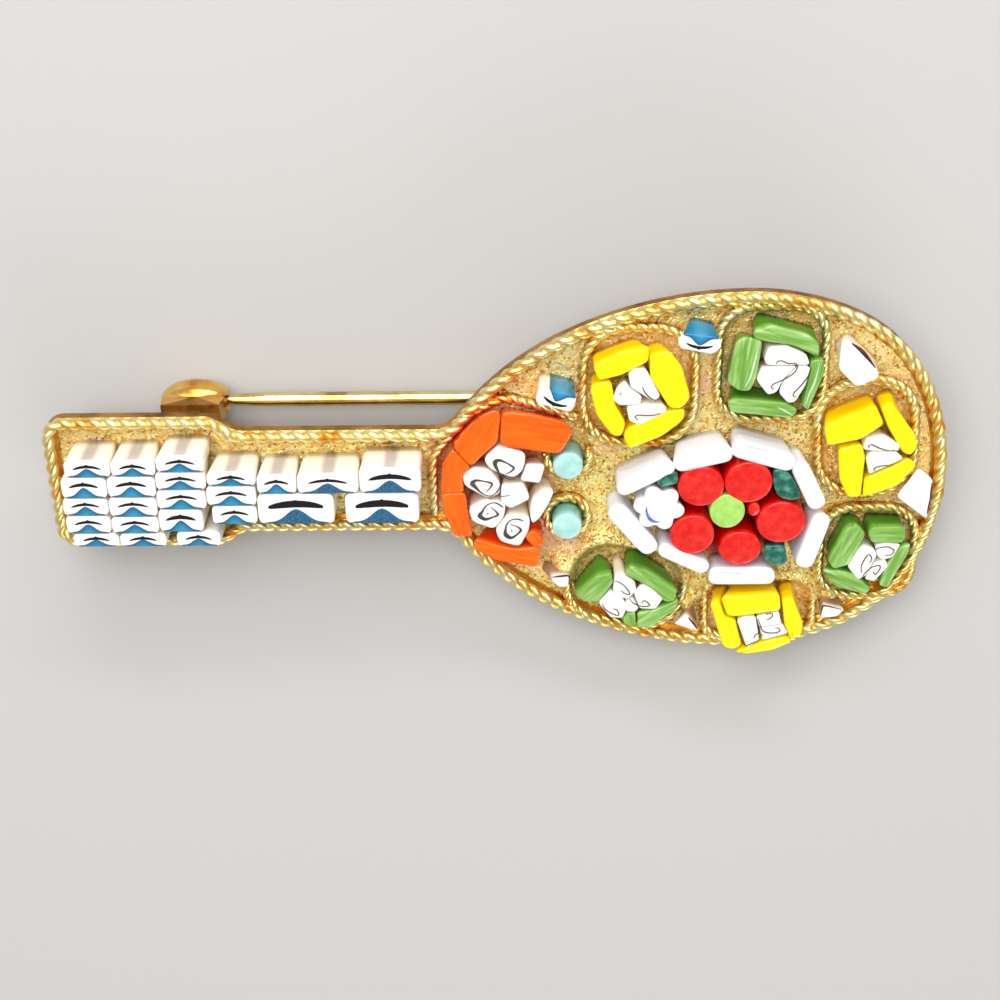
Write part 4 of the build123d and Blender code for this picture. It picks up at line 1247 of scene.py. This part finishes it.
# The bars' tops lean south and east, and the more to the east the further they are from the pear's
# narrow end. The red rods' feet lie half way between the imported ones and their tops, a little wider.
bar_lean = (0.12, -0.14)
lean_growth = 0.02
narrow_end = 8
foot_growth = 0.12
pear_blocks["pear_white_bars"] = [
    (foot_line, top_line + bar_lean + lean_growth * (top_line[:, :1] - narrow_end) * (1, 0), foot, top)
    for foot_line, top_line, foot, top in pear_blocks["pear_white_bars"]]
pear_blocks["pear_red_rods"] = [
    ((foot_line + top_line) / 2 + foot_growth * (top_line - top_line.mean(0)), top_line, foot, top)
    for foot_line, top_line, foot, top in pear_blocks["pear_red_rods"]]
glass_piece(
    "pear_white_bars", pear_blocks, [cool_white, pale_line], arris=0.16, dome=0.02,
    flare=0.05, strokes=bar_lines, width=0.035)
glass_piece("pear_red_rods", pear_blocks, [red], arris=0.1, dome=0.05)
glass_piece("pear_lime_rod", pear_blocks, [lime], arris=0.08, dome=0.05)
glass_piece("pear_green_leaves", pear_blocks, [dark_green], arris=0.1, dome=0.03)
# The floret is cut in with six lobes from this angle on, and holds a short arc of blue glass
floret_start = 0.5
lobe_foot = 0.76
lobe_depth = 0.28
blue_arc = [
    (8.39, -0.8, 0.07), (8.42, -1.17, 0.13), (8.55, -1.52, 0.18), (8.78, -1.75, 0.2), (9.17, -1.82, 0.06)]


def scalloped(line):
    """An outline with six lobes: its distance from the middle times the lobes' foot, plus their depth
    times the size of a cosine of three turns."""
    middle = (line.max(0) + line.min(0)) / 2
    angle = np.arctan2(line[:, 1] - middle[1], line[:, 0] - middle[0])[:, None]
    lobes = np.abs(np.cos(3 * angle + floret_start))
    return middle + (line - middle) * (lobe_foot + lobe_depth * lobes)


pear_blocks["pear_white_floret"] = [
    (scalloped(foot_line), scalloped(top_line), foot, top)
    for foot_line, top_line, foot, top in pear_blocks["pear_white_floret"]]
glass_piece(
    "pear_white_floret", pear_blocks, [cool_white, blue_line], dome=0.02,
    strokes=[blue_arc])

# An eyebrow's picture. Reaches are shares of the piece's half width, and heights shares of its
# depth from bell to back. The rest are in mm, and the last is how much less counts past the brow.
bell_reach = 0.66
bell_height = 0.33
skirt_reach = 0.97
skirt_height = 0.14
skirt_edge = 0.11
brow_height = 0.69
brow_bend = 0.12
thinnest_brow = 0.18
spike_size = 0.06
beyond_brow = 0.2


def eyebrow(points, line, facing=(0.0, -1.0)):
    """Where each point lies in the picture of an eyebrow cane, which faces the edge of a bell.

    The bell stands on that edge: a raised cosine over two thirds of the block's length, on a skirt
    that thins to nothing near its ends. The brow is an arc over it, thin at both ends and thicker on
    a larger block, with a spike at its middle. Gives how far a point is inside each, in mm, below
    and above zero, and how wide the block is."""
    facing = np.array(facing) / np.hypot(*facing)
    sideways = np.array([-facing[1], facing[0]])
    middle = (line.max(0) + line.min(0)) / 2
    reach = np.abs((line - middle) @ sideways).max()
    depth = np.abs((line - middle) @ facing).max()
    along = (points[:, :2] - middle) @ sideways
    up = np.clip(depth - (points[:, :2] - middle) @ facing, 0, 2 * depth)
    peak = (0.5 + 0.5 * np.cos(np.pi * np.clip(along / (bell_reach * reach), -1, 1))) ** 1.3
    skirt = np.clip(1 - np.abs(along) / (skirt_reach * reach), 0, 1) ** 1.2
    bell = 2 * depth * (bell_height * peak + skirt_height * skirt) - up
    bell += skirt_edge * np.minimum(1, 8 * skirt)
    brow_reach = (0.5 + 0.28 * depth) * reach
    brow_share = np.clip(np.abs(along) / brow_reach, 0, 1)
    brow_line = 2 * depth * brow_height - brow_bend * (1 + depth) * brow_share ** 2
    spike = spike_size * np.exp(-(along / spike_size) ** 2)
    thickness = max(thinnest_brow, 0.76 * depth - 0.27)
    brow_half = thickness / 2 * np.sqrt(1 - brow_share ** 2.5) + 0.5 * spike
    brow = brow_half - np.abs(up - brow_line - 0.5 * spike) - beyond_brow * (np.abs(along) > brow_reach)
    return np.stack([bell, brow, np.full(len(points), 2 * reach)], 1)


# Eyebrow canes are millefiori: blue, dark and white rods fused and drawn out together, so a picture
# 1 to 4 mm wide runs down through each block. Its ends are glossy, its sides painted a cream shade
# with a mauve band down their middle, and the blue of the widest is navy with specks of 0.07 mm.
millefiori = finish_named("millefiori_eyebrow_glass")
eyebrow_place = add(millefiori, "Attribute", {"attribute_name": "picture"}, {})
eyebrow_parts = add(millefiori, "SeparateXYZ", {}, {0: eyebrow_place.outputs["Vector"]})
block_place = add(millefiori, "Attribute", {"attribute_name": "cane"}, {})
block_parts = add(millefiori, "SeparateXYZ", {}, {0: block_place.outputs["Vector"]})
block_depth = add(millefiori, "Attribute", {"attribute_name": "deep"}, {})
fine_grain = add(millefiori, "TexNoise", {}, {
    "Vector": block_place.outputs["Vector"], "Scale": 14.0, "Detail": 3.0})
# Painted shade: the sides below the arris turn cream
side_shade_share = add(millefiori, "MapRange", {}, {
    "Value": block_depth.outputs["Fac"], "From Min": 0.04, "From Max": 0.3})
off_middle = add(millefiori, "Math", {"operation": "ABSOLUTE"}, {0: block_parts.outputs["X"]})
band_share = add(millefiori, "MapRange", {}, {
    "Value": off_middle, "From Min": 0.52, "From Max": 0.22, "To Max": 0.8})
band_mask = add(millefiori, "Math", {"operation": "MULTIPLY"}, {0: band_share, 1: side_shade_share})
bell_ramp = add(millefiori, "ValToRGB", {}, {"Fac": eyebrow_parts.outputs["X"]}, [
    (0.0, "145A80"), (0.16, "227CA6"), (0.5, "3E9CC6")])
navy_share = add(millefiori, "MapRange", {}, {
    "Value": eyebrow_parts.outputs["Z"], "From Min": 2.9, "From Max": 3.3})
navy_speck = add(millefiori, "ValToRGB", {}, {"Fac": fine_grain}, [(0.35, "12476E"), (0.75, "4A8AB0")])
bell_blue = add(millefiori, "Mix", {"data_type": "RGBA"}, {
    0: navy_share, 6: bell_ramp, 7: navy_speck}).outputs[2]
bell_mask = add(millefiori, "MapRange", {}, {
    "Value": eyebrow_parts.outputs["X"], "From Min": -0.012, "From Max": 0.02})
brow_mask = add(millefiori, "MapRange", {}, {
    "Value": eyebrow_parts.outputs["Y"], "From Min": -0.012, "From Max": 0.015})
cane_colour = colour("FFFEFB")
for tint_share, tint in [
    (side_shade_share, colour("FFF7E4")),
    (band_mask, colour("B4A6A4")),
    (bell_mask, bell_blue),
    (brow_mask, colour("140D0D")),
]:
    cane_colour = add(millefiori, "Mix", {"data_type": "RGBA"}, {
        0: tint_share, 6: cane_colour, 7: tint}).outputs[2]
millefiori_glass = add(millefiori, "BsdfPrincipled", {}, {
    "Base Color": cane_colour, "Roughness": 0.12, "IOR": 1.51})
add(millefiori, "OutputMaterial", {}, {"Surface": millefiori_glass})

# Seven columns of eyebrow pieces stand close in the handle, their bells to the south. Their tops are
# stretched like the others' until they nearly touch, with more points round them for the picture.
handle_nodes = [f"handle_column_{column}" for column in range(1, 8)]
handle_blocks = pressed([(name, 3) for name in handle_nodes], 0.5, 0.12, count=80)
for name in handle_nodes:
    glass_piece(
        name, handle_blocks, [millefiori], arris=0.1, dome=0.02, flare=0.01,
        picture=eyebrow, rings=15)

# Single pieces fill the corners between the cells: two of the same cane turned about, and five of
# plain white glass with a dark broken edge. Columns: name, where the bell's edge faces, the top's
# corners in the brooch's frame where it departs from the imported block's
eyebrow_stones = [
    ("west_top", (0.42, 0.91), ()),
    ("north_top", (0.13, 0.99), [
        (9.85, 9.1), (10.2, 9.45), (12.0, 9.2), (12.1, 8.65), (11.65, 8.3), (10.0, 8.65)]),
]
for corner_place, facing, corners in eyebrow_stones:
    name = f"corner_stone_{corner_place}"
    drawn = [(name, corners)] if corners else []
    glass_piece(
        name, pressed([(name, 3)], 0, 0, count=80, drawn=drawn), [millefiori],
        arris=0.1, dome=0.02, flare=0.04, rings=15,
        picture=lambda points, line: eyebrow(points, line, facing))

# Columns: name, the top's corners anticlockwise, the dark edge as x, y and width
plain_stones = [
    ("northeast_top", [(18.35, 7.3), (19.4, 6.2), (20.6, 6.8), (20.3, 7.4), (19.1, 8.7), (18.4, 9.05)],
     [(18.95, 8.8, 0.12), (19.42, 8.36, 0.3), (19.82, 7.92, 0.24), (20.28, 7.38, 0.1)]),
    ("east_end", [(22.1, -0.5), (23.95, -2.0), (24.05, 0.5), (23.2, 1.3)],
     [(23.9, -1.6, 0.08), (23.97, -0.6, 0.14), (23.97, 0.4, 0.08)]),
    ("southeast_low", [(18.54, -8.6), (19.5, -8.5), (19.9, -8.02), (18.66, -7.7)],
     [(18.55, -8.45, 0.06), (18.62, -7.85, 0.12), (18.8, -7.75, 0.12), (19.75, -8.0, 0.08)]),
    ("south_low", [(10.2, -8.95), (11.5, -9.46), (11.6, -9.35), (10.94, -8.4), (10.75, -8.4)],
     [(11.0, -8.5, 0.08), (11.3, -8.9, 0.16), (11.55, -9.3, 0.1)]),
    ("southwest_low", [(3.15, -5.95), (3.6, -6.4), (4.12, -6.36), (4.18, -5.6), (3.15, -5.66)],
     [(3.2, -5.7, 0.12), (3.7, -5.66, 0.2), (4.12, -5.64, 0.12), (4.14, -6.2, 0.06)]),
]
for corner_place, corners, dark_edge in plain_stones:
    name = f"corner_stone_{corner_place}"
    glass_piece(
        name, pressed([(name, 3)], 0, 0, drawn=[(name, corners)]),
        [shaded_white if corner_place.endswith("low") else white, maroon_line],
        arris=0.1, dome=0.02, strokes=[dark_edge])
